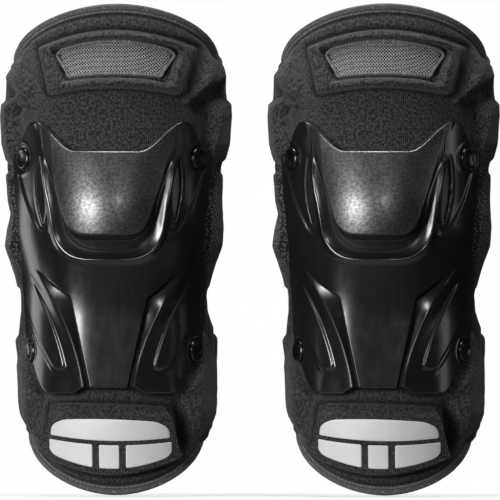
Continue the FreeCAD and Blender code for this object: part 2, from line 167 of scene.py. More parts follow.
def waves(x, y, seed, count=6):
    """A smooth random field from -1 to 1: waves in random directions, of length about 1."""
    rng = np.random.default_rng(seed)
    total = 0 * x
    for _ in range(count):
        turn, phase, length = rng.uniform(0, 2 * math.pi), rng.uniform(0, 2 * math.pi), rng.uniform(0.7, 1.5)
        total = total + np.sin((x * math.cos(turn) + y * math.sin(turn)) * 2 * math.pi / length + phase)
    return total / count


# ---------------------------------------------------------------- meshes

def mesh_object(name, points, faces, fields=None, paint=None):
    """An object from points in millimetres. Fields are per-point values that materials read."""
    mesh = bpy.data.meshes.new(name)
    mesh.from_pydata((np.asarray(points) * MM).tolist(), [], faces)
    for key, values in (fields or {}).items():
        values = np.asarray(values, np.float32)
        kind = "FLOAT_VECTOR" if values.ndim == 2 else "FLOAT"
        attribute = mesh.attributes.new(key, kind, "POINT")
        attribute.data.foreach_set("vector" if values.ndim == 2 else "value", values.ravel())
    mesh.polygons.foreach_set("use_smooth", [True] * len(mesh.polygons))
    if paint:
        mesh.materials.append(paint)
    mesh.update()
    piece = bpy.data.objects.new(name, mesh)
    bpy.context.scene.collection.objects.link(piece)
    return piece


def border(nu, nv):
    """Grid indices of the border, in order round the grid."""
    loop = [(i, 0) for i in range(nu)] + [(nu - 1, j) for j in range(1, nv)]
    return loop + [(i, nv - 1) for i in range(nu - 2, -1, -1)] + [(0, j) for j in range(nv - 2, 0, -1)]


def pillow(name, at, nu, nv, lip=0.6, rings=4, step=1, masks=None, paint=None):
    """A closed sheet with a rounded rim. at(su, sv, margin, side) gives angle, height and distance out, at
    shares su and sv from 0 to 1 of the outline pulled in by margin mm. side goes from 1, the outer face, to
    -1, the inner face, which is step times as coarse."""
    su, sv = np.meshgrid(np.linspace(0, 1, nu), np.linspace(0, 1, nv), indexing="ij")
    loop = border(nu, nv)
    edge_u = np.array([su[i, j] for i, j in loop])
    edge_v = np.array([sv[i, j] for i, j in loop])
    parts = [[f.ravel() for f in np.broadcast_arrays(*at(su, sv, lip, 1.0))]]
    for k in range(1, rings):
        turn = math.pi * k / rings
        parts.append([f.ravel() for f in np.broadcast_arrays(
            *at(edge_u, edge_v, lip * (1 - math.sin(turn)), math.cos(turn)))])
    inner_face = at(su[::step, ::step], sv[::step, ::step], lip, -1.0)
    parts.append([f.ravel() for f in np.broadcast_arrays(*inner_face)])
    angle, z, out = (np.concatenate([p[k] for p in parts]) for k in range(3))

    i, j = (g.ravel() for g in np.meshgrid(np.arange(nu - 1), np.arange(nv - 1), indexing="ij"))
    a = i * nv + j
    faces = np.stack([a, a + nv, a + nv + 1, a + 1], 1).tolist()
    n = len(loop)
    rows = [[p * nv + q for p, q in loop]]
    rows += [[nu * nv + k * n + m for m in range(n)] for k in range(rings - 1)]
    first = nu * nv + (rings - 1) * n
    mu, mv = (nu - 1) // step + 1, (nv - 1) // step + 1
    last = [first + p * mv + q for p, q in border(mu, mv)]
    if step == 1:
        rows.append(last)
    for near, far in zip(rows, rows[1:]):
        faces += [[near[m], far[m], far[(m + 1) % n], near[(m + 1) % n]] for m in range(n)]
    if step > 1:
        fine = rows[-1]
        for c in range(len(last)):
            c0, c1 = last[c], last[(c + 1) % len(last)]
            for m in range(step):
                f0, f1 = fine[c * step + m], fine[(c * step + m + 1) % n]
                faces.append([f0, c0 if m < step // 2 else c1, f1])
                if m == step // 2 - 1:
                    faces.append([f1, c0, c1])
    i, j = (g.ravel() for g in np.meshgrid(np.arange(mu - 1), np.arange(mv - 1), indexing="ij"))
    a = first + i * mv + j
    faces += np.stack([a, a + 1, a + mv + 1, a + mv], 1).tolist()

    fields = {"surface": np.stack([arc(angle), z, out], 1) * MM}
    for key, mask in (masks or {}).items():
        fields[key] = mask(angle, z)
    return mesh_object(name, place(angle, z, out), faces, fields, paint)


def between(low_high, low_out, high_out):
    """The at() of a plain layer between two angles, with heights and faces that depend on the place."""
    (first, last), heights = low_high
    def at(su, sv, margin, side):
        turn = margin / arc(1.0)
        angle = first + turn + su * (last - first - 2 * turn)
        low, high = heights(angle)
        z = low + margin + sv * (high - low - 2 * margin)
        return angle, z, through(low_out(angle, z), high_out(angle, z), side)
    return at


def path_frames(points):
    """Even directions along a path of points."""
    ahead = np.roll(points, -1, 0) - np.roll(points, 1, 0)
    if np.linalg.norm(points[0] - points[-1]) > 3 * np.linalg.norm(points[1] - points[0]):
        ahead[0], ahead[-1] = points[1] - points[0], points[-1] - points[-2]
    return ahead / np.linalg.norm(ahead, axis=1, keepdims=True)


def path_axes(angle, z, out):
    """The points of a path on the leg surface, and at each the directions along, aside and outward."""
    points = place(angle, z, out)
    up = place(angle, z, out + 1) - points
    up = up / np.linalg.norm(up, axis=1, keepdims=True)
    along = path_frames(points)
    return points, along, np.cross(along, up), up


def ring_faces(rows, columns, first=0, closed=False):
    """Faces between rings of points that follow one another."""
    faces = []
    for r in range(rows if closed else rows - 1):
        near, far = first + r * columns, first + (r + 1) % rows * columns
        for c in range(columns):
            d = (c + 1) % columns
            faces.append([near + c, near + d, far + d, far + c])
    return faces


def walk(points, spacing):
    """Places along a path, a spacing apart, as fractional indices."""
    length = np.concatenate([[0], np.cumsum(np.linalg.norm(np.diff(points, axis=0), axis=1))])
    count = max(2, int(length[-1] // spacing))
    return np.interp((np.arange(count) + 0.5) * length[-1] / count, length, np.arange(len(points)))


def stitches(name, path, paint, spacing=2.6, length=1.9, width=0.55, height=0.45):
    """Thread stitches: a small bead, long along the seam, at each step of a path of (angle, z, out)."""
    points, along, _, up = path_axes(*path)
    where = walk(points, spacing)
    grid = np.arange(len(points))
    pick = lambda field: np.stack([np.interp(where, grid, field[:, k]) for k in range(3)], 1)
    middle, along, up = pick(points), pick(along), pick(up)
    side = np.cross(along, up)
    rows, columns = 5, 6
    ring = []
    for r in range(1, rows):
        for c in range(columns):
            from_end, around = math.pi * r / rows, 2 * math.pi * c / columns
            ring.append((math.cos(from_end), math.sin(from_end) * math.cos(around),
                         math.sin(from_end) * math.sin(around)))
    ring = np.array(ring + [(1, 0, 0), (-1, 0, 0)])
    faces = ring_faces(rows - 1, columns)
    top, bottom = len(ring) - 2, len(ring) - 1
    for c in range(columns):
        d = (c + 1) % columns
        faces.append([top, d, c])
        faces.append([bottom, (rows - 2) * columns + c, (rows - 2) * columns + d])
    every = (middle[:, None] + ring[None, :, 0:1] * along[:, None] * length / 2
             + ring[None, :, 1:2] * side[:, None] * width / 2 + ring[None, :, 2:3] * up[:, None] * height / 2)
    all_faces = [[v + k * len(ring) for v in f] for k in range(len(middle)) for f in faces]
    return mesh_object(name, every.reshape(-1, 3), all_faces, paint=paint)


def tube(name, path, radius, paint, sides=12):
    """A closed ring of cord along a path of (angle, z, out)."""
    points, _, side, up = path_axes(*path)
    turn = np.arange(sides) * 2 * math.pi / sides
    ring = (side[:, None] * np.cos(turn)[None, :, None] + up[:, None] * np.sin(turn)[None, :, None]) * radius
    angle, z, out = path
    field = np.repeat(np.stack([arc(angle), z, out], 1), sides, 0) * MM
    return mesh_object(name, (points[:, None] + ring).reshape(-1, 3),
                       ring_faces(len(points), sides, closed=True), {"surface": field}, paint)


def join(name, pieces):
    """One object from several, which keep their materials."""
    with bpy.context.temp_override(active_object=pieces[0], selected_editable_objects=pieces):
        bpy.ops.object.join()
    pieces[0].name = pieces[0].data.name = name
    return pieces[0]


# ---------------------------------------------------------------- materials

class Paint:
    """A material under construction. Its textures lie on the leg surface, in metres: the arc, up and out."""

    def __init__(self, name):
        self.material = bpy.data.materials.new(name)
        self.material.use_nodes = True
        self.tree = self.material.node_tree
        self.shader = self.tree.nodes["Principled BSDF"]
        self.where = self.add("ShaderNodeAttribute", attribute_name="surface").outputs["Vector"]

    def add(self, kind, inputs=None, **settings):
        node = self.tree.nodes.new(kind)
        for key, value in settings.items():
            setattr(node, key, value)
        for key, value in (inputs or {}).items():
            self.put(node.inputs[key], value)
        return node

    def own_place(self):
        """A place on the piece, for textures that don't follow the leg surface."""
        return self.add("ShaderNodeTexCoord").outputs["Object"]

    def put(self, socket, value):
        if isinstance(value, bpy.types.NodeSocket):
            self.tree.links.new(value, socket)
        else:
            socket.default_value = value

    def math(self, operation, *values):
        node = self.add("ShaderNodeMath", operation=operation)
        for socket, value in zip(node.inputs, values):
            self.put(socket, value)
        return node.outputs[0]

    def noise(self, size, detail=2.0, where=None, stretch=(1, 1, 1)):
        """Noise whose features are about size metres across."""
        scaled = self.add("ShaderNodeVectorMath", {0: where or self.where, 1: [s / size for s in stretch]},
                          operation="MULTIPLY").outputs[0]
        inputs = {"Vector": scaled, "Scale": 1.0, "Detail": detail}
        return self.add("ShaderNodeTexNoise", inputs).outputs["Fac"]

    def cells(self, where, count, **settings):
        """Distance to the nearest of random points, count of them to a metre."""
        inputs = {"Vector": where, "Scale": count}
        return self.add("ShaderNodeTexVoronoi", inputs, **settings).outputs["Distance"]

    def wave(self, period, along=(1, 0, 0), bend=None):
        """A sine from 0 to 1 with that period in metres, along a direction on the surface."""
        turn = [c * 2 * math.pi / period for c in along]
        phase = self.add("ShaderNodeVectorMath", {0: self.where, 1: turn},
                         operation="DOT_PRODUCT").outputs["Value"]
        if bend is not None:
            phase = self.math("ADD", phase, bend)
        return self.math("MULTIPLY_ADD", self.math("SINE", phase), 0.5, 0.5)

    def mix(self, share, low, high):
        node = self.add("ShaderNodeMix", data_type="RGBA")
        self.put(node.inputs[0], share)
        self.put(node.inputs[6], (*low, 1) if isinstance(low, tuple) else low)
        self.put(node.inputs[7], (*high, 1) if isinstance(high, tuple) else high)
        return node.outputs[2]

    def range(self, value, low, high, to_low=0.0, to_high=1.0):
        return self.add("ShaderNodeMapRange", {"Value": value, "From Min": low, "From Max": high,
                                               "To Min": to_low, "To Max": to_high}).outputs[0]

    def field(self, name):
        return self.add("ShaderNodeAttribute", attribute_name=name).outputs["Fac"]

    def bump(self, height, depth, strength=1.0, below=None):
        """A bump whose height runs over depth metres."""
        node = self.add("ShaderNodeBump", {"Height": height, "Distance": depth, "Strength": strength})
        if below is not None:
            self.put(node.inputs["Normal"], below)
        return node.outputs[0]

    def finish(self, color, roughness, normal, **more):
        self.put(self.shader.inputs["Base Color"], (*color, 1) if isinstance(color, tuple) else color)
        self.put(self.shader.inputs["Roughness"], roughness)
        self.put(self.shader.inputs["Normal"], normal)
        for key, value in more.items():
            self.put(self.shader.inputs[key.replace("_", " ")], value)
        return self.material


SHADE = (0.0015, 0.0015, 0.0016)       # fabric deep in a seam, where no light reaches


def knit_paint():
    """Charcoal brushed knit with fine upright ribs. The wings are a coarser, speckled loop knit."""
    p = Paint("panel_fabric")
    drift = p.math("MULTIPLY", p.noise(0.02, 2.0), 6.0)
    ribs = p.wave(0.0013, (1, 0, 0), drift)
    rows = p.wave(0.0011, (0.5, 1, 0))
    fuzz = p.noise(0.00045, 3.0)
    heather = p.noise(0.0016, 1.0)
    behind = p.field("behind")
    blotch = p.noise(0.035, 3.0)
    loops = p.cells(p.where, 620.0)
    wing = p.field("wing")
    across = p.math("MULTIPLY_ADD", rows, 0.25, p.math("MULTIPLY", fuzz, 0.5))
    cloth = p.math("MULTIPLY_ADD", ribs, 0.40, across)
    plain = p.mix(p.range(blotch, 0.3, 0.7), (0.009, 0.009, 0.0094), (0.015, 0.015, 0.0156))
    ribbed = p.mix(p.math("MULTIPLY", cloth, 0.7), plain, (0.066, 0.066, 0.068))
    mottled = p.mix(p.range(heather, 0.36, 0.64, 0.0, 0.9), ribbed, (0.002, 0.002, 0.0023))
    speckled = p.mix(p.range(loops, 0.12, 0.5), (0.09, 0.09, 0.094), (0.004, 0.004, 0.005))
    # Painted shade: behind the vent's mesh, and down in seams, creases and hems, the colour is darkened
    # towards SHADE.
    shaded = p.math("MAXIMUM", behind, p.math("MULTIPLY", p.field("crease"), 0.88))
    color = p.mix(shaded, p.mix(wing, mottled, speckled), SHADE)
    height = p.math("ADD", p.math("MULTIPLY", p.math("ADD", cloth, heather), p.math("SUBTRACT", 1.0, wing)),
                    p.math("MULTIPLY", p.math("SUBTRACT", 1.0, loops), p.math("MULTIPLY", wing, 2.0)))
    rough = p.range(fuzz, 0.2, 0.8, 0.75, 0.95)
    return p.finish(color, rough, p.bump(height, 0.0006, 1.0), Sheen_Weight=0.12, Sheen_Roughness=0.45,
                    Sheen_Tint=(0.8, 0.8, 0.85, 1), Specular_IOR_Level=0.2)


def shell_paint():
    """Black moulded plastic: satin, with a fine grain on the knee dome. In the recesses beside the strip and
    at the channel's foot its reflections are cut and it is made rougher, as painted shade.
    """
    p = Paint("shell_plastic")
    dome = p.field("dome")
    grain = p.noise(0.00055, 2.0)
    ripple = p.noise(0.012, 2.0)
    scuff = p.noise(0.004, 5.0, stretch=(1.0, 0.35, 1.0))
    speck = p.range(p.noise(0.0014, 3.0), 0.35, 0.65)
    height = p.math("ADD", p.math("MULTIPLY", grain, p.math("MULTIPLY", dome, 0.4)),
                    p.math("MULTIPLY", scuff, 0.05))
    fine = p.bump(height, 0.0003, 1.0)
    normal = p.bump(ripple, 0.0002, 0.25, fine)
    rough = p.math("ADD", p.range(scuff, 0.3, 0.7, 0.20, 0.26), p.math("MULTIPLY", dome, 0.125))
    color = p.mix(dome, (0.006, 0.006, 0.0063), p.mix(grain, (0.003, 0.003, 0.0032), (0.009, 0.009, 0.0093)))
    level = p.math("MULTIPLY_ADD", dome, p.math("MULTIPLY_ADD", speck, 0.8, 0.1), 0.5)
    # Painted shade: in the recesses that the mask marks, the reflections and coat are cut by 92% and the
    # surface is made rougher.
    gloss = p.math("MULTIPLY_ADD", p.field("recess_shade"), -0.92, 1.0)
    rough = p.math("MULTIPLY_ADD", p.field("recess_shade"), 0.3, rough)
    return p.finish(color, rough, normal, Specular_IOR_Level=p.math("MULTIPLY", level, gloss),
                    Coat_Weight=p.math("MULTIPLY", gloss, 0.10), Coat_Roughness=0.12)


def rivet_paint():
    """Gloss black lacquer over a pressed head, worn a little at the rim."""
    p = Paint("rivet_black")
    coords = p.own_place()
    worn = p.noise(0.003, 4.0, coords)
    color = p.mix(p.range(worn, 0.55, 0.8), (0.003, 0.003, 0.0032), (0.012, 0.012, 0.0125))
    normal = p.bump(p.noise(0.0012, 2.0, coords), 0.00006, 0.5)
    return p.finish(color, p.range(worn, 0.3, 0.8, 0.20, 0.30), normal, Specular_IOR_Level=0.45)


def steel_paint():
    p = Paint("rivet_steel")
    coords = p.own_place()
    lines = p.noise(0.0006, 2.0, coords, (1, 1, 6))
    return p.finish(p.mix(lines, (0.42, 0.42, 0.43), (0.6, 0.6, 0.61)), p.range(lines, 0.2, 0.8, 0.25, 0.4),
                    p.bump(lines, 0.00003, 0.6), Metallic=1.0)


def foam_paint():
    """Closed-cell foam, with its small round cells."""
    p = Paint("impact_foam")
    coords = p.own_place()
    cells = p.cells(coords, 900.0)
    color = p.mix(cells, (0.02, 0.02, 0.021), (0.045, 0.045, 0.047))
    return p.finish(color, 0.85, p.bump(cells, 0.0002, 0.6))


def lining_paint():
    """Brushed lining with small vent holes in rows."""
    p = Paint("lining_fabric")
    holes = p.math("MULTIPLY", p.wave(0.004, (1, 1, 0)), p.wave(0.004, (1, -1, 0)))
    pit = p.range(holes, 0.80, 0.93)
    fuzz = p.noise(0.0006, 3.0)
    # Painted shade: the vent holes are drawn near-black, for the shade inside them.
    color = p.mix(pit, p.mix(fuzz, (0.028, 0.028, 0.030), (0.060, 0.060, 0.063)), (0.004, 0.004, 0.004))
    normal = p.bump(p.math("SUBTRACT", p.math("MULTIPLY", fuzz, 0.5), pit), 0.0004, 0.8)
    return p.finish(color, 0.9, normal, Sheen_Weight=0.4, Sheen_Roughness=0.4, Specular_IOR_Level=0.2)


def woven_paint(name, low, high, period, rough=0.75, sheen=0.2, speck=0.0):
    """Woven tape or elastic: warp and weft cross at right angles."""
    p = Paint(name)
    warp, weft = p.wave(period, (0, 1, 0)), p.wave(period * 0.8, (1, 0, 0))
    cross = p.math("MULTIPLY_ADD", p.math("ABSOLUTE", p.math("SUBTRACT", warp, weft)), 0.8,
                   p.math("MULTIPLY", p.noise(0.0004, 2.0), 0.4))
    color = p.mix(cross, low, high)
    if speck:
        dots = p.range(p.noise(0.0013, 1.0), 0.62, 0.7, 0.0, speck)
        color = p.mix(dots, color, (0.5, 0.5, 0.5))
    # Painted shade: the colour is darkened towards SHADE along seams and edges, where the crease field marks
    # them.
    color = p.mix(p.math("MULTIPLY", p.field("crease"), 0.85), color, SHADE)
    return p.finish(color, rough, p.bump(cross, 0.0002, 0.8), Sheen_Weight=sheen, Sheen_Roughness=0.4,
                    Specular_IOR_Level=0.3)


def stretch_paint():
    """Ribbed stretch knit, behind the knee."""
    p = Paint("stretch_fabric")
    rib = p.wave(0.0032, (1, 0, 0), p.math("MULTIPLY", p.noise(0.03, 2.0), 3.0))
    loops = p.math("MULTIPLY", p.wave(0.0008, (0, 1, 0)), p.wave(0.0008, (1, 0.3, 0)))
    height = p.math("MULTIPLY_ADD", loops, 0.3, rib)
    color = p.mix(rib, (0.010, 0.010, 0.011), p.mix(loops, (0.022, 0.022, 0.024), (0.05, 0.05, 0.052)))
    return p.finish(color, 0.85, p.bump(height, 0.0004, 0.8), Sheen_Weight=0.3, Sheen_Roughness=0.45,
                    Specular_IOR_Level=0.25)


def mesh_paint():
    """Grey-black monofilament of the air mesh."""
    p = Paint("air_mesh")
    twist = p.wave(0.0006, (1, 0.7, 0.3))
    color = p.mix(twist, (0.085, 0.085, 0.09), (0.27, 0.27, 0.28))
    return p.finish(color, 0.35, p.bump(twist, 0.00008, 0.6), Specular_IOR_Level=0.5)


def reflector_paint():
    """Silver film of tiny glass beads."""
    p = Paint("reflective_film")
    beads = p.cells(p.where, 1500.0)
    tint = p.noise(0.02, 2.0)
    color = p.mix(p.math("MULTIPLY_ADD", beads, 0.35, p.math("MULTIPLY", tint, 0.4)),
                  (0.48, 0.48, 0.49), (0.33, 0.34, 0.35))
    return p.finish(color, 0.6, p.bump(beads, 0.00005, 0.6), Metallic=0.1, Sheen_Weight=0.2)


def loop_paint():
    """Loop pile: a dense mat of curled fibre."""
    p = Paint("loop_pile")
    curl = p.cells(p.where, 900.0, feature="SMOOTH_F1")
    mat = p.noise(0.004, 4.0)
    color = p.mix(p.math("MULTIPLY", curl, mat), (0.015, 0.015, 0.016), (0.09, 0.09, 0.094))
    return p.finish(color, 0.95, p.bump(p.math("ADD", curl, mat), 0.0005, 0.9), Sheen_Weight=0.6,
                    Sheen_Roughness=0.3, Specular_IOR_Level=0.15)


def thread_paint():
    p = Paint("thread")
    coords = p.own_place()
    twist = p.noise(0.0005, 1.0, coords, (3, 1, 1))
    return p.finish(p.mix(twist, (0.05, 0.05, 0.052), (0.17, 0.17, 0.175)), 0.6, p.bump(twist, 0.0001, 0.6),
                    Sheen_Weight=0.3)


PAINTS = {
    "panel_fabric": knit_paint(),
    "shell_plastic": shell_paint(),
    "rivet_black": rivet_paint(),
    "rivet_steel": steel_paint(),
    "impact_foam": foam_paint(),
    "lining_fabric": lining_paint(),
    "binding_tape": woven_paint("binding_tape", (0.020, 0.020, 0.021), (0.078, 0.078, 0.080), 0.0011,
                                speck=0.25),
    "webbing": woven_paint("webbing", (0.012, 0.012, 0.013), (0.05, 0.05, 0.052), 0.0016),
    "elastic": woven_paint("elastic", (0.012, 0.012, 0.013), (0.045, 0.045, 0.047), 0.0013, 0.7, 0.3),
    "hook_tape": woven_paint("hook_tape", (0.010, 0.010, 0.011), (0.06, 0.06, 0.062), 0.0012, 0.5, 0.1),
    "stretch_fabric": stretch_paint(),
    "air_mesh": mesh_paint(),
    "reflective_film": reflector_paint(),
    "loop_pile": loop_paint(),
    "thread": thread_paint(),
}


# ---------------------------------------------------------------- the shell

def shell_side(z):
    return ramp(z, 118, 156, 78, 60) + ramp(z, 156, 206, 0, 8) - ramp(z, 85, 118, 8, 0)


def shell_top(share):
    side = np.abs(share)
    return SHELL_LIP + EAR_RISE * ease((side - 0.24) / 0.40) - EAR_FALL * ease((side - 0.68) / 0.27)


def shell_bottom(share):
    side = np.abs(share)
    return SHELL_FOOT - LOBE_DROP * ease((side - 0.21) / 0.11) + SIDE_RISE * ease((side - 0.57) / 0.40)


def shell_base(angle):
    """How far out the plain shell is, before its features."""
    return SHELL_SIDE + SHELL_CROWN * np.cos(np.radians(angle))


def shell_x(angle, z):
    """How far to either side of the middle a place on the shell is, seen from the front."""
    return np.abs(seen_x(angle, z, shell_base(angle)))


def dome_side(x, z):
    """How far beyond the dome's edge a place is; negative on the dome."""
    return smooth_max((x - 25.8 - 0.346 * (z - 169)) * 0.945, DOME_BOTTOM_Z - z, 10)


def channel_side(x, z):
    """How far outside the channel round the dome a place is; negative in the channel and on the dome."""
    return smooth_max((x - 34.3 - 0.16 * (z - 169)) * 0.987, CHANNEL_BOTTOM_Z - z, 20)


def dome_and_channel(x, z):
    cup = channel_side(x, z)
    in_dome = ease((1.5 - dome_side(x, z)) / 4)
    across, up = x / DOME_HALF_WIDTH, (z - DOME_CROWN_Z) / DOME_HALF_HEIGHT
    crown = DOME_HEIGHT * (1 - across ** 2) * (1 - up ** 2)
    rim = RIM_HEIGHT * line_at(cup - 0.4, RIM_HALF) * ease((RIM_TOP - z) / 20)
    return in_dome * crown - (1 - in_dome) * CHANNEL_DEPTH * ease(-cup / 5.5) + rim


def wedge_outer(z):
    """The recess's outer edge at a height."""
    return 14.5 + 0.116 * (z - 64) + 0.00407 * (z - 64) ** 2


def wedge_strip(z):
    """The middle strip's edge at a height."""
    return 11.0 + 0.205 * (z - 65)


def wedge_distances(x, z):
    """How far inside the recess beside the strip: from its top edge, the strip and its outer edge."""
    above = (x - 22.4 - (z - 120.7) * 1.285) * 0.614
    beside = (x - wedge_strip(z)) * 0.98
    outer = (wedge_outer(z) - x) * 0.85
    return above, beside, outer


def wedge(x, z):
    """The recess beside the middle strip: a steep wall at the strip, and a floor that rises away from it."""
    above, beside, outer = wedge_distances(x, z)
    width = np.clip((wedge_outer(z) - wedge_strip(z)) * 0.85, 3.5, 11)
    blade = BLADE_HEIGHT * line_at(np.minimum(outer, 0), 5) * ease((140 - z) / 14)
    floor = blade - (WEDGE_DEPTH + blade) * smooth_min(np.maximum(outer, 0) / width, 1 + 0 * x, 0.2)
    inside = ease(smooth_min(above, beside, 1.0) / 1.8)
    strip = STRIP_FLATNESS * smooth_min(x, 22 + 0 * x, 16) ** 2 * ease((165 - z) / 60) * ease((42 - x) / 20)
    return strip * (1 - inside) + inside * floor


def recess_shade_mask(angle, z):
    """1 where the shell's reflections are cut, as painted shade: the walls of the recesses beside the strip,
    on the left most of their floor, and the foot of the channel's outer wall. It is not the same on the left
    and the right."""
    x = shell_x(angle, z)
    above, beside, outer = wedge_distances(x, z)
    into = smooth_min(above, beside, 1.0)
    inside = ease((into + 0.7) / 0.7) * ease((outer + 1.0) / 1.0)
    by_wall = ease((3.6 - into) / 1.2)
    low_down = ease((88 - z) / 14)
    below_tip = ease((128 - z) / 9) * ease((into + 3.0 + 0.4 * (128 - z)) / 6)
    recess = inside * np.where(angle < 0, below_tip, np.maximum(by_wall, low_down))
    cup = channel_side(x, z)
    to_right = np.where(angle < 0, 1.0, ease((26 - x) / 8))
    foot = 0.9 * ease((-0.8 - cup) / 1.2) * ease((cup + 7.5) / 1.5) * to_right
    return np.maximum(recess, foot)


def leaf_outer(z):
    """The leaf's outer edge at a height."""
    return 34.5 + 0.62 * (z - 77) - 0.0035 * (z - 77) ** 2


def leaf(x, z):
    """The raised leaf on each shin side, which fades out at its top."""
    inner = x - 26 - 0.22 * (z - 78) - 0.0034 * np.maximum(z - 78, 0) ** 2
    inside = smooth_min(smooth_min(inner, leaf_outer(z) - x, 3), z - 76, 4)
    return LEAF_HEIGHT * ease(inside / 1.6) * ease((136 - z) / 18)


def teardrop(x, z):
    """How far inside the sunk panel that holds the ear's rivet and the slot a place is."""
    outer = 42 + 0.62 * (z - 159) - 0.0058 * (z - 159) ** 2 - x
    inner = x - 36.3 - 0.085 * (z - 166)
    return smooth_min(smooth_min(outer * 0.8, inner, 3), (z - 158) * 0.8, 4)


def slot_shape(t):
    """The lens-shaped slot's middle and half width at a share of its height."""
    middle = SLOT_BOTTOM[0] + t * (SLOT_TOP[0] - SLOT_BOTTOM[0])
    return middle, SLOT_HALF_WIDTH * (1 - (2 * np.clip(t, 0, 1) - 1) ** 2)


def slot_distance(x, z):
    """How far outside the slot a place is, about."""
    middle, width = slot_shape((z - SLOT_BOTTOM[1]) / (SLOT_TOP[1] - SLOT_BOTTOM[1]))
    beyond = np.maximum(np.maximum(SLOT_BOTTOM[1] - z, z - SLOT_TOP[1]), 0)
    return np.hypot(np.maximum(np.abs(x - middle) - width, 0), beyond)


def rivet_places():
    """The angle and height of each of the four rivets."""
    for half_spacing, z in RIVET_PAIRS:
        for side in (-1, 1):
            yield side * float(angle_of(half_spacing, z, SHELL_SIDE)), z


def shell_out(angle, z):
    """How far out the shell's outer face is."""
    x = shell_x(angle, z)
    out = shell_base(angle) + dome_and_channel(x, z) + wedge(x, z) + leaf(x, z)
    out = out - TEARDROP_DEPTH * ease(teardrop(x, z) / 1.3)
    out = out + 0.5 * line_at(slot_distance(x, z) - 1.2, 0.9)
    beside_leaf = smooth_min(x - 1.5 - leaf_outer(z), 122 - z, 6)
    out = out - RIVET_RECESS_DEPTH * ease(beside_leaf / 1.5) * ease((z - 70) / 18)
    for rivet_angle, rivet_z in rivet_places():
        r = np.hypot(arc(angle - rivet_angle), z - rivet_z)
        out = out - RIVET_SEAT_DEPTH * ease((RIVET_SEAT_R + 0.9 - r) / 1.8)
        out = out + 0.35 * line_at(r - RIVET_SEAT_R - 1.4, 0.8)
    return smooth_max(out, SHELL_LOWEST, 1.0)


def shell_at(su, sv, margin, side):
    share = 2 * su - 1
    low, high = shell_bottom(share) + margin, shell_top(share) - margin
    z = low + sv * (high - low)
    angle = share * (shell_side(z) - margin)
    return angle, z, shell_out(angle, z) - SHELL_THICKNESS / 2 * (1 - side)


def dome_mask(angle, z):
    """1 on the grained dome."""
    return ease((0.5 - dome_side(shell_x(angle, z), z)) / 2)


def slot_cutter():
    """Two lens-shaped bars along Y, for the shell's side slots."""
    points, faces = [], []
    steps = 24
    for side in (-1, 1):
        first = len(points)
        outline = []
        for edge in (1, -1):
            for k in range(steps):
                t = k / steps if edge == 1 else 1 - k / steps
                middle, width = slot_shape(t)
                height = SLOT_BOTTOM[1] + t * (SLOT_TOP[1] - SLOT_BOTTOM[1])
                outline.append((side * (middle + edge * width), height))
        n = len(outline)
        for y in (-110, -20):
            points += [(x, y, z) for x, z in outline]
        faces.append([first + k for k in range(n)])
        faces.append([first + n + k for k in range(n - 1, -1, -1)])
        faces += [[first + k, first + n + k, first + n + (k + 1) % n, first + (k + 1) % n] for k in range(n)]
    return mesh_object("slot_cutter", np.array(points, float), faces)


def apply_modifiers(piece):
    """The piece's mesh with its modifiers worked in."""
    bpy.context.view_layer.update()
    evaluated = piece.evaluated_get(bpy.context.evaluated_depsgraph_get())
    mesh = bpy.data.meshes.new_from_object(evaluated, preserve_all_data_layers=True,
                                           depsgraph=bpy.context.evaluated_depsgraph_get())
    piece.modifiers.clear()
    piece.data = mesh
    return piece


def make_shell():
    shell = pillow("left_hard_shell", shell_at, 257, 305, lip=0.9, rings=6, step=4,
                   masks={"dome": dome_mask, "recess_shade": recess_shade_mask}, paint=PAINTS["shell_plastic"])
    cutter = slot_cutter()
    cut = shell.modifiers.new("slots", "BOOLEAN")
    cut.operation, cut.solver, cut.object = "DIFFERENCE", "EXACT", cutter
    apply_modifiers(shell)
    bpy.data.objects.remove(cutter)
    return shell


def make_rivets():
    """Domed heads with a raised rim and a shallow centre, lathed on each rivet's axis."""
    profile = ((0.0, 0.65), (1.2, 0.68), (2.4, 0.80), (3.5, 1.05), (4.3, 1.35), (4.9, 1.55), (5.4, 1.6),
               (5.9, 1.5), (6.4, 1.15), (6.8, 0.6), (7.0, 0.0), (6.6, -0.25), (2.0, -0.3), (2.0, -2.2),
               (0.0, -2.3))
    turns = 40
    points, faces = [], []
    for angle, z in rivet_places():
        seat = float(shell_out(np.array(angle), np.array(z)))
        centre, above = place(angle, z, seat), place(angle, z, seat + 1)
        up = (above - centre) / np.linalg.norm(above - centre)
        across = np.cross(up, (0, 0, 1))
        across = across / np.linalg.norm(across)
        along = np.cross(up, across)
        first = len(points)
        for r, h in profile:
            for k in range(turns):
                t = 2 * math.pi * k / turns
                points.append(centre + up * h + (across * math.cos(t) + along * math.sin(t)) * max(r, 0.02))
        faces += [[a, d, c, b] for a, b, c, d in ring_faces(len(profile), turns, first)]
        faces.append([first + k for k in range(turns)])
        faces.append([first + (len(profile) - 1) * turns + k for k in range(turns - 1, -1, -1)])
    return mesh_object("left_rivet_heads", np.array(points), faces, paint=PAINTS["rivet_black"])


# ---------------------------------------------------------------- the cover

def top_edge(angle):
    """The cover's top, which is lowest at the sides."""
    return HEIGHT - 34.5 * (1 - np.cos(np.radians(angle - TOP_LEAN))) ** 0.97


def bottom_edge(angle):
    """The cover's foot, which is highest at the sides."""
    return 37.0 * (1 - np.cos(np.radians(angle - BOTTOM_LEAN))) ** 0.98


def cover_side(z):
    """Degrees round the leg at which the cover ends."""
    return ramp(z, 214, 238, PANEL_EDGE, THIGH_EDGE)


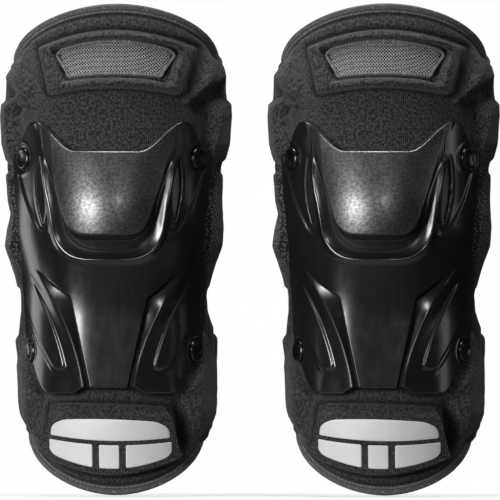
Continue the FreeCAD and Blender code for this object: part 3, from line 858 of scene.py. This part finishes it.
# The outline seen from the front: half widths at heights, on the left and on the right
OUTLINE_Z = (0, 10, 20, 30, 40, 50, 60, 84, 94, 102, 112, 122, 132, 142, 152, 162, 172, 180, 200,
             206, 214, 232, 238, 246, 256, 266, 276, 286)
OUTLINE_LEFT = (54, 54.5, 55, 56.5, 58.3, 59.6, 60.6, 61.4, 63.0, 61.4, 60.0, 60.2, 61.6, 65.0,
                68.4, 67.0, 64.6, 66.4, 67.8, 67.8, 70.2, 71.0, 70.6, 69.4, 68.8, 66.4, 62.3, 60)
OUTLINE_RIGHT = (54, 54.5, 55.5, 58.0, 61.0, 62.0, 61.6, 61.8, 62.0, 61.2, 56.8, 55.8, 58.4, 61.4,
                 65.2, 66.0, 66.0, 65.4, 65.8, 67.8, 70.2, 71.4, 71.2, 69.8, 69.8, 68.2, 64.0, 61)

# Folds in the fabric, seen from the front: (x, z) to (x, z), how far each bows, half its width, its height
FOLDS = (
    # beside the left of the ridge, where the flap bends
    ((-69, 249), (-51, 236.5), 0.0, 1.4, 3.6),
    ((-70, 243.5), (-56, 234.0), 0.0, 3.2, -4.6),
    ((-68, 254.0), (-51, 240.0), 0.3, 1.1, -2.2),
    ((-62, 270), (-50, 275), 1.5, 0.9, -0.9),
    ((-60, 266), (-52, 243), 2.5, 3.0, 0.8),
    ((-54, 268), (-47, 246), -1.5, 1.2, -0.6),
    ((-46, 240), (-42, 233), 0.5, 0.8, 0.6),
    ((-44, 241), (-39, 235), 0.5, 0.7, -0.5),
    # beside the right of the ridge
    ((69, 247), (51, 236.0), 0.0, 3.6, -5.0),
    ((68, 241), (52, 234.0), -1.5, 2.2, 1.4),
    ((66, 270), (47, 243), 5.0, 2.2, 0.9),
    ((69, 266), (64, 246), 1.5, 1.6, -1.2),
    # beside the knee's top
    ((-68, 232), (-62, 206), 2.0, 1.6, -0.7),
    ((68, 232), (66, 208), 1.0, 1.4, -1.3),
    # left of the shin
    ((-60, 92), (-46, 64), -3.0, 2.8, 1.8),
    ((-54, 84), (-40, 62), -3.0, 1.8, -1.8),
    ((-55, 60), (-47, 22), -2.0, 2.4, 0.9),
    ((-59, 52), (-52, 24), -1.0, 1.5, -0.8),
    ((-62, 100), (-58, 84), 0.0, 1.2, -0.8),
    # right of the shin
    ((62, 96), (44, 62), 3.5, 3.2, 2.4),
    ((44, 60), (49, 34), 0.5, 2.2, 2.2),
    ((40, 58), (43, 26), 0.5, 2.4, -2.6),
    ((60, 42), (48, 31), 1.5, 2.0, -1.6),
    # the wings
    ((-66, 173), (-58, 176), 0.5, 1.4, -1.6),
    ((-64, 140), (-57, 152), 0.5, 2.0, -0.9),
    ((66, 178), (60, 172), 0.5, 1.2, -0.7),
    ((60, 136), (56, 150), 0.5, 1.6, -0.8),
)


def folds(x, z):
    """How far all the folds stand out of the fabric, or sink into it."""
    total = 0 * x
    for (x0, z0), (x1, z1), bow, half, height in FOLDS:
        length = math.hypot(x1 - x0, z1 - z0)
        ax, az = (x1 - x0) / length, (z1 - z0) / length
        along = ((x - x0) * ax + (z - z0) * az) / length
        off = (x - x0) * -az + (z - z0) * ax - bow * 4 * along * (1 - along)
        taper = ease((along + 0.12) / 0.3) * ease((1.12 - along) / 0.3)
        total = total + height * line_at(off, half) * taper
    return total


def cover_relief(angle, z):
    """How far the padded shapes stand out of the cover."""
    side = np.abs(angle)
    x = (half_width(z) + PANEL + 5) * np.sin(np.radians(np.minimum(side, 90))) + arc(np.maximum(side - 90, 0))
    full = np.where(angle < 0, np.interp(z, OUTLINE_Z, OUTLINE_LEFT), np.interp(z, OUTLINE_Z, OUTLINE_RIGHT))
    full = np.maximum(full - half_width(z) - PANEL, 0)
    crease = 236 + 0.72 * (x - 50.4)
    # each lobe is full where it is further than about 8 mm inside its own edge
    thigh = smooth_min(x - 48.5 - 0.25 * (z - 243), (z - crease) * 0.9, 5)
    thigh = smooth_min(thigh, top_edge(angle) - HEM - 2 - z, 5)
    knee = smooth_min(side - 62 - 4 * ease((z - 215) / 15), (crease - 1.5 - z) * 0.9, 5)
    knee = smooth_min(knee, z - 199, 5)
    wing = smooth_min(side - shell_side(z) - 1, smooth_min(z - 122, 201 - z, 6), 5)
    shin_inner = 45 + 9 * ease((z - 62) / 28) + np.where(angle < 0, 3, -1) * ease((58 - z) / 20)
    shin = smooth_min(smooth_min(x - shin_inner, z - bottom_edge(angle) - HEM - 3, 6), 104 - z, 6)
    behind = 0.75 * ease((side - 76) / 10)
    share = np.maximum.reduce([ease(thigh / 8), ease(knee / 7), ease(wing / 6), ease(shin / 8), behind])
    return full * share * (1 - 0.5 * ease((side - 95) / 20))


def cover_outer(angle, z):
    """The cover's outer face, pinched at its bound edges."""
    relief = cover_relief(angle, z)
    out = PANEL + relief
    x = seen_x(angle, z, out)
    front = ease((76 - np.abs(angle)) / 18)
    out = out + folds(x, z) * front
    seam = np.maximum(line_at(ridge_inside(x, z) + 0.6, 1.5), line_at(block_inside(x, z) + 0.6, 1.5))
    out = out - 1.3 * seam * (np.abs(angle) < 80) - 1.6 * ease(vent_inside(x - RIDGE_X, z) / 1.5)
    to_edge = np.minimum(top_edge(angle) - z, z - bottom_edge(angle))
    out = out - 1.6 * ease((HEM + 3.5 - to_edge) / 3.5)
    out = out - 2.5 * ease((6 - arc(cover_side(z) - np.abs(angle))) / 6)
    free = 1 - ease((212 - z) / 8) * ease((z - 60) / 6) * ease((shell_side(z) - np.abs(angle)) / 6)
    wavy = 0.35 * waves(arc(angle) / 26, z / 26, 11) + 0.16 * waves(arc(angle) / 9, z / 9, 12)
    return np.maximum(out + free * wavy, 5.0)


def cover_grid(su, sv, margin, aside, inset):
    """Angle and height at shares su and sv of the cover's outline, pulled in by margin mm, and by aside
    degrees more at its sides and inset mm more at its edges. Its sides and edges depend on each other."""
    z = 30 + 240 * sv
    for _ in range(4):
        angle = (2 * su - 1) * (cover_side(z) - margin / arc(1.0) - aside)
        low, high = bottom_edge(angle) + margin + inset, top_edge(angle) - margin - inset
        z = low + sv * (high - low)
    return angle, z


def cover_at(su, sv, margin, side):
    angle, z = cover_grid(su, sv, margin, 0.0, 1.0)
    return angle, z, through(LINING_OUT + 0.05 + 0 * angle, cover_outer(angle, z), side)


def wing_mask(angle, z):
    side = np.abs(angle)
    across = ease((side - shell_side(z) - 2) / 2) * ease((z - 138) / 4)
    return across * ease((204 - z) / 4) * ease((112 - side) / 2)


def mesh_shade_mask(angle, z):
    """1 behind the vent's mesh, where the fabric is darkened as painted shade."""
    x = seen_x(angle, z, PANEL) - RIDGE_X
    return ease(vent_inside(x, z) / 1.0) * (np.abs(angle) < 60)


def crease_shade_mask(angle, z):
    """1 down in the seams and creases, in the folds' hollows, beside the hems and just under the shell's
    lower edge, where the fabric is darkened as painted shade.
    """
    x = seen_x(angle, z, PANEL)
    seams = np.maximum(line_at(ridge_inside(x, z) + 0.5, 1.3), line_at(block_inside(x, z) + 0.6, 1.3))
    dents = np.clip(-folds(x, z) / 2.6, 0, 1) * ease((76 - np.abs(angle)) / 18)
    to_edge = np.minimum(top_edge(angle) - z, z - bottom_edge(angle))
    hems = 0.8 * line_at(to_edge - HEM - 0.5, 1.0)
    under_shell = line_at(shell_bottom(angle / shell_side(z)) - z - 0.5, 2.0) * (np.abs(angle) < 66)
    return np.maximum.reduce([seams * (np.abs(angle) < 80), dents, hems, 0.7 * under_shell])


def make_cover():
    masks = {"wing": wing_mask, "behind": mesh_shade_mask, "crease": crease_shade_mask}
    return pillow("left_cover", cover_at, 249, 337, lip=2.0, rings=6, step=4, masks=masks,
                  paint=PAINTS["panel_fabric"])


def lining_at(su, sv, margin, side):
    angle, z = cover_grid(su, sv, margin, 0.5, 1.5)
    seam = np.minimum(np.abs((arc(angle) + z * 0.6) % 24 - 12), np.abs((arc(angle) - z * 0.6) % 24 - 12))
    quilt = 0.55 * (1 - line_at(seam, 2.4)) * ease((PANEL_EDGE - 3 - np.abs(angle)) / 4)
    return angle, z, through(0.55 - quilt, LINING_OUT, side)


def make_lining():
    return pillow("left_lining", lining_at, 221, 253, lip=0.5, paint=PAINTS["lining_fabric"])


def edge_hem(name, edge, upward, widest):
    """The binding folded over an edge, with its seam."""
    def at(su, sv, margin, side):
        angle = (2 * su - 1) * (widest - margin / arc(1.0))
        across = margin + sv * (HEM - 2 * margin)
        z = edge(angle) - across if upward else edge(angle) + across
        inner = -0.1 + 0.5 * ease((across - 3) / 3)
        outer = PANEL + 0.6 - 1.3 * ease(across / HEM) + 0.12 * waves(arc(angle) / 7, across / 4, 21)
        outer = outer - 0.5 * line_at(across - HEM + 1.4, 0.7)
        return angle, z, through(inner, outer, side)
    # Painted shade: the tape is darkened where it meets the cover and in a line beside its seam.
    def crease(angle, z):
        across = edge(angle) - z if upward else z - edge(angle)
        return np.maximum(ease((across - HEM + 0.9) / 0.8), 0.5 * line_at(across - HEM + 2.3, 0.5))
    band = pillow(name, at, 241, 17, lip=1.2, rings=8, masks={"crease": crease}, paint=PAINTS["binding_tape"])
    if upward:
        band.data.flip_normals()
    angle = np.linspace(-widest + 2, widest - 2, 400)
    seam_z = edge(angle) - (HEM - 1.4) if upward else edge(angle) + (HEM - 1.4)
    seam = stitches(name + "_seam", (angle, seam_z, 0 * angle + PANEL - 0.95), PAINTS["thread"])
    return join(name, [band, seam])


# ---------------------------------------------------------------- ridge, vent and shin block

def corner_bow(to_end, radius):
    """How far a corner of that radius pulls a side in, at a distance from its end."""
    return radius - np.sqrt(np.maximum(radius ** 2 - np.maximum(radius - to_end, 0) ** 2, 0))


def trapezium_at(half_x, low, high, centre_x, seen_at, inner, outer, corner):
    """The at() of a patch with an outline given as seen from the front. corner gives the corners' radius at
    shares su and sv. inner and outer give its faces from x, z and how far inside the outline a place is."""
    def at(su, sv, margin, side):
        to_end = np.minimum(sv, 1 - sv) * (high(0.0) - low(0.0))
        x = (2 * su - 1) * (half_x(sv) - corner_bow(to_end, corner(su, sv)) - margin)
        z = low(x) + margin + sv * (high(x) - low(x) - 2 * margin)
        angle = angle_of(x + centre_x, z, seen_at)
        edge = np.minimum(half_x(sv) - np.abs(x), np.minimum(z - low(x), high(x) - z))
        return angle, z, through(inner(x, z, edge), outer(x, z, edge), side)
    return at


def bowed(middle, bow):
    """An edge's height at x, which falls away from its middle, or rises where bow is negative."""
    return lambda x: middle - bow * x * x


def tilted(edge):
    """The block and its patches sit a little lower on the right."""
    return lambda x: edge(x) - BLOCK_TILT * x


def widening(low, more):
    """A half width at a share of the height, from low at the foot to low + more at the top."""
    return lambda share: low + more * share


ridge_low, ridge_high, ridge_half = bowed(248, 0.0026), bowed(284, 0.0043), widening(42, 7.5)
vent_low, vent_high, vent_half = bowed(256.5, 0.0022), bowed(277.5, 0.0045), widening(31, 6.5)
block_low, block_high = tilted(bowed(12, -0.006)), tilted(bowed(56.5, 0.0008))
block_half = widening(44.5, -7)


def inside_of(x, z, low, high, half):
    """How far inside an outline a place is: between two heights, with a half width at each share between."""
    side = half(np.clip((z - low) / (high - low), 0, 1)) - np.abs(x)
    return smooth_min(side, smooth_min(z - low, high - z, 2), 3)


def vent_inside(x, z):
    """How far inside the vent's outline a place is."""
    return inside_of(x, z, vent_low(x), vent_high(x), vent_half)


def block_inside(x, z):
    """How far inside the shin block's outline a place is, seen from the front."""
    return inside_of(x, z, block_low(x), block_high(x), block_half)


def ridge_inside(x, z):
    """How far inside the ridge's outline a place is, seen from the front."""
    along = x - RIDGE_X
    return inside_of(along, z, ridge_low(along), ridge_high(along), ridge_half)


def rounded(distance, radius):
    """The height, from 0 to 1, of an edge rounded to a quarter circle."""
    t = 1 - np.clip(distance / radius, 0, 1)
    return np.sqrt(1 - t * t)


def make_ridge():
    """A stuffed frame round the vent, with rounded bars."""
    def outer(x, z, edge):
        inside = vent_inside(x, z)
        gap = 0.6 + 1.2 * ease((x - 22) / 12) + 0.9 * ease((262 - z) / 5)
        bar = rounded(edge + 0.1, 3.8) * rounded(-inside - gap, 2.8)
        sag = 0.3 * waves(x / 17, z / 17, 61) + 0.15 * waves(x / 6, z / 6, 62)
        return PANEL - 1.4 + (RIDGE_OUT + 2.8 - PANEL + sag) * bar
    at = trapezium_at(ridge_half, ridge_low, ridge_high, RIDGE_X, RIDGE_OUT,
                      lambda x, z, edge: PANEL - 3 + 0 * x, outer, lambda su, sv: 2.5 + 0 * su)
    # Painted shade: the frame is darkened round its outer edge and along the vent's edge.
    def crease(angle, z):
        x = seen_x(angle, z, RIDGE_OUT)
        inside = vent_inside(x - RIDGE_X, z)
        return np.maximum(ease((1.3 - ridge_inside(x, z)) / 1.6), line_at(inside + 0.9, 0.9))
    masks = {"behind": mesh_shade_mask, "crease": crease}
    return pillow("left_thigh_ridge_frame", at, 257, 105, lip=0.8, step=4, masks=masks,
                  paint=PAINTS["panel_fabric"])


def vent_path(inset, count=60):
    """The vent's outline, pulled in by inset mm, as x and z, from its lower left corner round."""
    r = VENT_CORNER
    half0, half1 = vent_half(0) - inset, vent_half(1) - inset
    foot, head = vent_low(half0) + inset, vent_high(half1) - inset
    turn = np.linspace(0, 1, 6)[1:-1] * math.pi / 2
    up = np.linspace(0, 1, count // 3)
    side_x = np.concatenate([half0 - r + r * np.sin(turn), half0 + up * (half1 - half0),
                             half1 - r + r * np.cos(turn)])
    side_z = np.concatenate([foot + r - r * np.cos(turn), foot + r + up * (head - foot - 2 * r),
                             head - r + r * np.sin(turn)])
    bottom_x, top_x = np.linspace(-half0 + r, half0 - r, count), np.linspace(half1 - r, -half1 + r, count)
    x = np.concatenate([bottom_x, side_x, top_x, -side_x[::-1]])
    z = np.concatenate([vent_low(bottom_x) + inset, side_z, vent_high(top_x) - inset, side_z[::-1]])
    return x, z


def on_front(x, z, centre_x, seen_at, out):
    return angle_of(x + centre_x, z, seen_at), z, out + 0 * x


def make_piping():
    x, z = vent_path(0.6)
    path = on_front(x, z, RIDGE_X, RIDGE_OUT, PANEL + 1.3)
    cord = tube("left_vent_piping_cord", path, 1.1, PAINTS["binding_tape"])
    x, z = vent_path(0.7)
    x, z = np.append(x, x[0]), np.append(z, z[0])
    path = on_front(x, z, RIDGE_X, RIDGE_OUT, PANEL + 2.35)
    seam = stitches("left_vent_seam", path, PAINTS["thread"], spacing=1.9, length=1.4, width=0.7)
    return join("left_vent_binding", [cord, seam])


def lattice(name, inside, to_surface, box, pitch, thread, paint):
    """Crossing threads on a slanted grid, kept where inside(x, z) is above 0."""
    points, faces, fields = [], [], []
    (x0, x1), (z0, z1) = box
    reach = (x1 - x0) + (z1 - z0)
    for slant in (-1, 1):
        for start in np.arange(-reach, reach, pitch):
            t = np.arange(0, reach, 0.7)
            x = x0 + start + t * DIAGONAL
            z = z0 + t * DIAGONAL if slant == 1 else z1 - t * DIAGONAL
            keep = (inside(x, z) > 0) & (x >= x0) & (x <= x1) & (z >= z0) & (z <= z1)
            runs = np.split(np.arange(len(t)), np.where(~keep)[0])
            for run in runs:
                run = [k for k in run if keep[k]]
                if len(run) < 3:
                    continue
                xs, zs = x[run], z[run]
                lift = slant * 0.18 * np.sin(np.arange(len(run)) * 1.6 + start)
                angle, height, out = to_surface(xs, zs, lift)
                centre, _, side, up = path_axes(angle, height, out)
                first = len(points)
                for k in range(len(run)):
                    for c in range(4):
                        turn = (c + 0.5) * math.pi / 2
                        away = side[k] * math.cos(turn) + up[k] * math.sin(turn)
                        points.append(centre[k] + away * thread / 2)
                        fields.append((float(arc(angle[k])), float(height[k]), float(out[k])))
                faces += ring_faces(len(run), 4, first)
                faces.append([first + c for c in range(3, -1, -1)])
                faces.append([first + (len(run) - 1) * 4 + c for c in range(4)])
    return mesh_object(name, np.array(points), faces, {"surface": np.array(fields) * MM}, paint)


def make_vent():
    inside = lambda x, z: vent_inside(x, z) - 1.0
    to_surface = lambda x, z, lift: on_front(x, z, RIDGE_X, RIDGE_OUT, PANEL + 0.75 + lift)
    box = ((-39, 39), (252, 279))
    return lattice("left_vent_mesh_net", inside, to_surface, box, 2.0, 0.62, PAINTS["air_mesh"])


def make_slot_net():
    nets = []
    for side in (-1, 1):
        inside = lambda x, z: 1.5 - slot_distance(np.abs(x), z)
        to_surface = lambda x, z, lift: (angle_of(x, z, 14.0), z, PANEL + 1.1 + lift + 0 * x)
        box = ((36, 48), (162, 210)) if side == 1 else ((-48, -36), (162, 210))
        nets.append(lattice(f"left_slot_net_{side}", inside, to_surface, box, 1.5, 0.6, PAINTS["air_mesh"]))
    return join("left_slot_nets", nets)


def make_block():
    """The raised foam block under the reflective film, slanted along its top."""
    def outer(x, z, edge):
        slant = 5.8 * np.clip((z + BLOCK_TILT * x - 48) / 8, 0, 1)
        welt = 0.7 * line_at(edge - 1.2, 0.7)
        wavy = 0.15 * waves(x / 14, z / 14, 31)
        return BLOCK_OUT - slant - (BLOCK_OUT - PANEL) * (1 - rounded(edge + 0.2, 1.8)) + welt + wavy
    at = trapezium_at(block_half, block_low, block_high, 0.0, BLOCK_OUT,
                      lambda x, z, edge: PANEL - 2 + 0 * x, outer, lambda su, sv: 1.5 + 0 * su)
    # Painted shade: the block's cover is darkened at its sides and in a line at the foot of its slanted top.
    def crease(angle, z):
        x = seen_x(angle, z, BLOCK_OUT)
        low_on_side = ease((0.9 - block_inside(x, z)) / 1.2)
        under_bevel = 0.35 * line_at(z + BLOCK_TILT * x - 48.6, 0.9)
        return np.maximum(low_on_side, under_bevel)
    return pillow("left_shin_block_cover", at, 257, 129, lip=1.6, rings=6, step=4, masks={"crease": crease},
                  paint=PAINTS["panel_fabric"])


def patch(name, half, low, high, centre_x, corner):
    """One piece of reflective film on the block."""
    at = trapezium_at(half, lambda x: tilted(low)(x + centre_x), lambda x: tilted(high)(x + centre_x),
                      centre_x, BLOCK_OUT,
                      lambda x, z, edge: BLOCK_OUT - 0.6 + 0 * x,
                      lambda x, z, edge: BLOCK_OUT + 0.45 - 0.15 * (1 - ease(edge / 0.8)), corner)
    return pillow(name, at, 65, 33, lip=0.3, paint=PAINTS["reflective_film"])


def make_reflector_band():
    return patch("left_reflector_upper", lambda share: 36.5 - 5 * share ** 3, bowed(33.3, -0.002),
                 bowed(46.6, 0.0012), 0.0, lambda su, sv: np.where(sv > 0.5, 5.0, 0.8))


def make_reflector_panels():
    low, high = bowed(16.3, -0.0062), bowed(30.8, -0.002)
    pieces = [patch("left_reflector_mid", widening(6.2, 0), low, high, 0.0, lambda su, sv: 0.6 + 0 * su)]
    for side in (-1, 1):
        foot = lambda su, sv: np.where((sv < 0.5) & ((2 * su - 1) * side > 0), 5.0, 0.8)
        pieces.append(patch(f"left_reflector_{side}", widening(13.6, 0), low, high, side * 23.8, foot))
    return join("left_reflector_lower", pieces)


# ---------------------------------------------------------------- straps and the band behind the knee

def make_band():
    def heights(angle):
        hollow = BAND_HOLLOW * np.sin(np.radians(np.clip((angle - 115) * 180 / 130, 0, 180)))
        return BAND_BOTTOM + hollow, BAND_TOP - hollow
    def outer(angle, z):
        low, high = heights(angle)
        edge = np.minimum(z - low, high - z)
        gather = np.exp(-np.minimum(angle - 115, 245 - angle) / 14)
        roll = 0.7 * line_at(edge - 2.0, 1.6)
        return 2.2 + roll + gather * 0.5 * np.sin(z * 0.9) + 0.25 * np.sin(arc(angle) * 2 * math.pi / 3.2)
    at = between(((115.3, 244.7), heights), lambda angle, z: 0.4 + 0 * angle, outer)
    return pillow("left_knee_back_band", at, 281, 81, lip=0.9, rings=6, step=4,
                  paint=PAINTS["stretch_fabric"])


def box_path(a0, a1, z0, z1, out):
    """A seam round a rectangle, from angle a0 to a1 and height z0 to z1."""
    across, up = np.linspace(a0, a1, 30), np.linspace(z0, z1, 40)
    angle = np.concatenate([across, np.full(40, a1), across[::-1], np.full(40, a0)])
    z = np.concatenate([np.full(30, z0), up, np.full(30, z1), up[::-1]])
    return angle, z, 0 * angle + out


def strap_out(angle):
    from_end = np.minimum(angle - STRAP_START, 360 - STRAP_START - angle)
    return STRAP_ON_LEG + (STRAP_END_OUT - STRAP_ON_LEG) * (1 - ease(from_end / (STRAP_INWARD - STRAP_START)))


def strap_heights(low):
    """The edges of a strap, at the same heights all the way round."""
    return lambda angle: (low + 0 * angle, low + STRAP_WIDTH + 0 * angle)


def make_strap(name):
    """The elastic, with its sewn-on hook tab."""
    low = STRAPS[name]
    def inner(angle, z):
        return strap_out(angle) + 0.05 + 0.12 * waves(arc(angle) / 30, z / 40, 41)
    def outer(angle, z):
        edge = np.minimum(z - low, low + STRAP_WIDTH - z)
        selvage = 0.25 * line_at(edge - 1.8, 1.3)
        return inner(angle, z) + STRAP_THICKNESS - 0.3 + selvage + 0.1 * np.sin(z * 2 * math.pi / 4.0)
    reach = (STRAP_START - 0.6, 360 - ANCHOR_EDGE - 0.1)
    at = between((reach, strap_heights(low)), inner, outer)
    band = pillow(f"left_{name}_elastic", at, 241, 65, lip=0.8, rings=6, step=2, paint=PAINTS["elastic"])

    first, last = PATCH_FRONT - 1.0, STRAP_START - 0.2
    def tab_at(su, sv, margin, side):
        v = sv * (STRAP_WIDTH - 2 * margin) + margin
        bow = corner_bow(np.minimum(v, STRAP_WIDTH - v), TAB_CORNER)
        a0 = first + (bow + margin) / arc(1.0)
        a1 = last - margin / arc(1.0)
        angle = a0 + su * (a1 - a0)
        z = low + v + 0 * angle
        rib = 0.15 * np.sin(arc(angle - first) * 2 * math.pi / 2.0) * ease((arc(angle - first) - 2) / 2)
        thick = TAB_THICKNESS + rib * ease((8 - arc(angle - first)) / 2)
        return angle, z, TAB_OUT + thick / 2 + side * thick / 2
    tab = pillow(f"left_{name}_tab", tab_at, 49, 65, lip=0.5, rings=6, paint=PAINTS["hook_tape"])
    a0, a1, on_tab = first + 9, last - 1.5, TAB_OUT + 1.62
    path = box_path(a0, a1, low + 3.0, low + STRAP_WIDTH - 3.0, on_tab)
    seam = stitches(f"left_{name}_tab_seam", path, PAINTS["thread"])
    cross_a, share = np.linspace(a0, a1, 60), np.linspace(0, 1, 60)
    legs = []
    for k in (0, 1):
        cross_z = low + 3 + (share if k else 1 - share) * (STRAP_WIDTH - 6)
        path = (cross_a, cross_z, 0 * cross_a + on_tab)
        legs.append(stitches(f"left_{name}_cross_{k}", path, PAINTS["thread"]))
    return band, join(f"left_{name}_hook_end", [tab, seam] + legs)


def side_patch(name, first, last, paint, thick, fuzz):
    """The webbing anchors on one side, or the loop patches on the other, one per strap, each sewn round."""
    pieces = []
    for key, low in STRAPS.items():
        inner = lambda angle, z: PANEL - 0.6 + 0 * angle
        def outer(angle, z):
            return PANEL + 0.1 + thick + fuzz * waves(arc(angle) / 2.2, z / 2.2, 51) + 0 * angle
        at = between(((first, last), strap_heights(low)), inner, outer)
        pieces.append(pillow(f"{name}_{key}", at, 49, 81, rings=5, paint=PAINTS[paint]))
        path = box_path(first + 2.2, last - 2.2, low + 2.2, low + STRAP_WIDTH - 2.2, PANEL + 0.15 + thick)
        pieces.append(stitches(f"{name}_{key}_seam", path, PAINTS["thread"]))
    return join(name, pieces)


# ---------------------------------------------------------------- both guards

def pair(piece, nodes, body=None, bend=False):
    """A left piece and its copy on the right, one pitch over. Each is parented to its side's body, or, with
    bend, has its place baked into its points; the parts it stands for are hidden.
    """
    twin = piece.copy()
    twin.data = piece.data.copy()
    twin.name = twin.data.name = piece.name.replace("left_", "right_", 1)
    bpy.context.scene.collection.objects.link(twin)
    co = np.zeros(len(twin.data.vertices) * 3, np.float32)
    twin.data.vertices.foreach_get("co", co)
    co = co.reshape(-1, 3) + np.array([PITCH * MM, 0, 0], np.float32)
    twin.data.vertices.foreach_set("co", co.ravel())
    twin.data.update()
    for side, one in (("left", piece), ("right", twin)):
        if bend:
            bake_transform(one)
        else:
            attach(one, f"{side}_{body}")
        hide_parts(*[f"{side}_{node}" for node in nodes])


pair(make_cover(), ["knee_panel", "thigh_panel", "flex_panel", "upper_side_pads", "knee_wings",
                    "shin_side_pads", "thigh_side_pads"], bend=True)
pair(make_lining(), ["knee_lining", "thigh_lining"], bend=True)
pair(edge_hem("left_upper_hem", top_edge, True, THIGH_EDGE), ["thigh_hem"], body="thigh")
pair(edge_hem("left_lower_hem", bottom_edge, False, PANEL_EDGE), ["shin_hem"], body="guard")
pair(make_ridge(), ["thigh_ridge"], bend=True)
pair(make_piping(), ["vent_piping"], bend=True)
pair(make_vent(), ["vent_mesh"], bend=True)
pair(make_shell(), ["shell"], body="guard")
pair(make_rivets(), ["rivets"], body="guard")
pair(make_slot_net(), ["slot_mesh"], body="guard")
pair(make_block(), ["shin_block"], body="guard")
pair(make_reflector_band(), ["reflector_band"], body="guard")
pair(make_reflector_panels(), ["reflector_panels"], body="guard")
pair(make_band(), ["back_band"], body="guard")
pair(side_patch("left_anchor_patches", -ANCHOR_EDGE, -PATCH_FRONT, "webbing", 1.2, 0.0), ["strap_anchors"],
     body="guard")
pair(side_patch("left_loop_pile_patches", PATCH_FRONT, ANCHOR_EDGE, "loop_pile", 1.0, 0.15), ["loop_patches"],
     body="guard")
for strap_name in STRAPS:
    elastic, tab = make_strap(strap_name)
    pair(elastic, [f"{strap_name}_strap"], body=f"{strap_name}_strap")
    pair(tab, [f"{strap_name}_hook_tab"], body=f"{strap_name}_strap")

for side in ("left", "right"):
    for node, paint in (("impact_foam", "impact_foam"), ("rivet_washers", "rivet_steel")):
        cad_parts[f"{side}_{node}"].data.materials.clear()
        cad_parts[f"{side}_{node}"].data.materials.append(PAINTS[paint])


# ---------------------------------------------------------------- stage, light and camera

VIEW_WIDTH, CAMERA_TURN = 306.75, 4.0
LOOK_AT = (PITCH / 2 - 0.3, 0.0, 149.7)
LIGHTS = (
    # name, azimuth and elevation in degrees, distance, width and height in metres, power in watts
    ("key", -32, 3, 1.6, 0.56, 0.62, 32),
    ("left", -106, -9, 0.7, 0.22, 0.30, 0.60),
    ("right", 85, 10, 1.6, 0.3, 1.0, 1.6),
    ("top", -20, 82, 1.5, 1.2, 0.5, 40),
    ("kicker", 12, 12, 1.6, 0.20, 0.20, 3.6),
)


def make_floor():
    """A pale disc under the pair that fades into the white surround."""
    bpy.ops.mesh.primitive_circle_add(vertices=96, radius=0.42, fill_type="NGON",
                                      location=(PITCH / 2 * MM, 0, -0.001))
    floor = bpy.context.object
    floor.name = "floor"
    p = Paint("floor")
    coords = p.own_place()
    tone = p.noise(0.8, 2.0, coords)
    material = p.finish(p.mix(tone, (0.86, 0.86, 0.86), (0.90, 0.90, 0.90)), 0.7, p.bump(tone, 0.0001, 0.1))
    away = p.add("ShaderNodeVectorMath", {0: coords}, operation="LENGTH").outputs["Value"]
    clear = p.add("ShaderNodeBsdfTransparent").outputs[0]
    share = p.range(away, 0.05, 0.40, 0.6, 1.0)
    blend = p.add("ShaderNodeMixShader", {0: share, 1: p.shader.outputs[0], 2: clear})
    p.put(p.tree.nodes["Material Output"].inputs["Surface"], blend.outputs[0])
    floor.data.materials.append(material)


def area_light(name, azimuth, elevation, distance, width, height, power):
    """A soft box that faces the middle of the pair, seen from there at an azimuth and an elevation."""
    lamp = bpy.data.lights.new(name, "AREA")
    lamp.shape, lamp.size, lamp.size_y, lamp.energy = "RECTANGLE", width, height, power
    box = bpy.data.objects.new(name, lamp)
    bpy.context.scene.collection.objects.link(box)
    a, e = math.radians(azimuth), math.radians(elevation)
    back = np.array([math.sin(a) * math.cos(e), -math.cos(a) * math.cos(e), math.sin(e)])
    middle = np.array([PITCH / 2 * MM, 0, HEIGHT / 2 * MM])
    box.location = middle + back * distance
    box.rotation_euler = Vector(-back).to_track_quat("-Z", "Y").to_euler()


def make_world():
    world = bpy.data.worlds.new("studio")
    world.use_nodes = True
    bpy.context.scene.world = world
    tree = world.node_tree
    background = tree.nodes["Background"]
    rays = tree.nodes.new("ShaderNodeLightPath")
    mix = tree.nodes.new("ShaderNodeMix")
    mix.data_type = "RGBA"
    mix.inputs[6].default_value = (0.02, 0.02, 0.0205, 1)
    mix.inputs[7].default_value = (1, 1, 1, 1)
    tree.links.new(rays.outputs["Is Camera Ray"], mix.inputs[0])
    tree.links.new(mix.outputs[2], background.inputs["Color"])
    background.inputs["Strength"].default_value = 1.0


def make_camera():
    """A very long lens, turned a little to the right of straight on."""
    camera = bpy.data.cameras.new("camera")
    camera.sensor_width, camera.lens = 36.0, 1000.0
    view = bpy.data.objects.new("camera", camera)
    bpy.context.scene.collection.objects.link(view)
    distance = VIEW_WIDTH * camera.lens / camera.sensor_width * MM
    turn = math.radians(CAMERA_TURN)
    back = np.array([math.sin(turn), -math.cos(turn), 0])
    view.location = np.array(LOOK_AT) * MM + back * distance
    view.rotation_euler = Vector(-back).to_track_quat("-Z", "Y").to_euler()
    camera.clip_start, camera.clip_end = 0.1, 50
    bpy.context.scene.camera = view


make_floor()
make_world()
for light in LIGHTS:
    area_light(*light)
make_camera()
bpy.context.scene.view_settings.view_transform = "Standard"
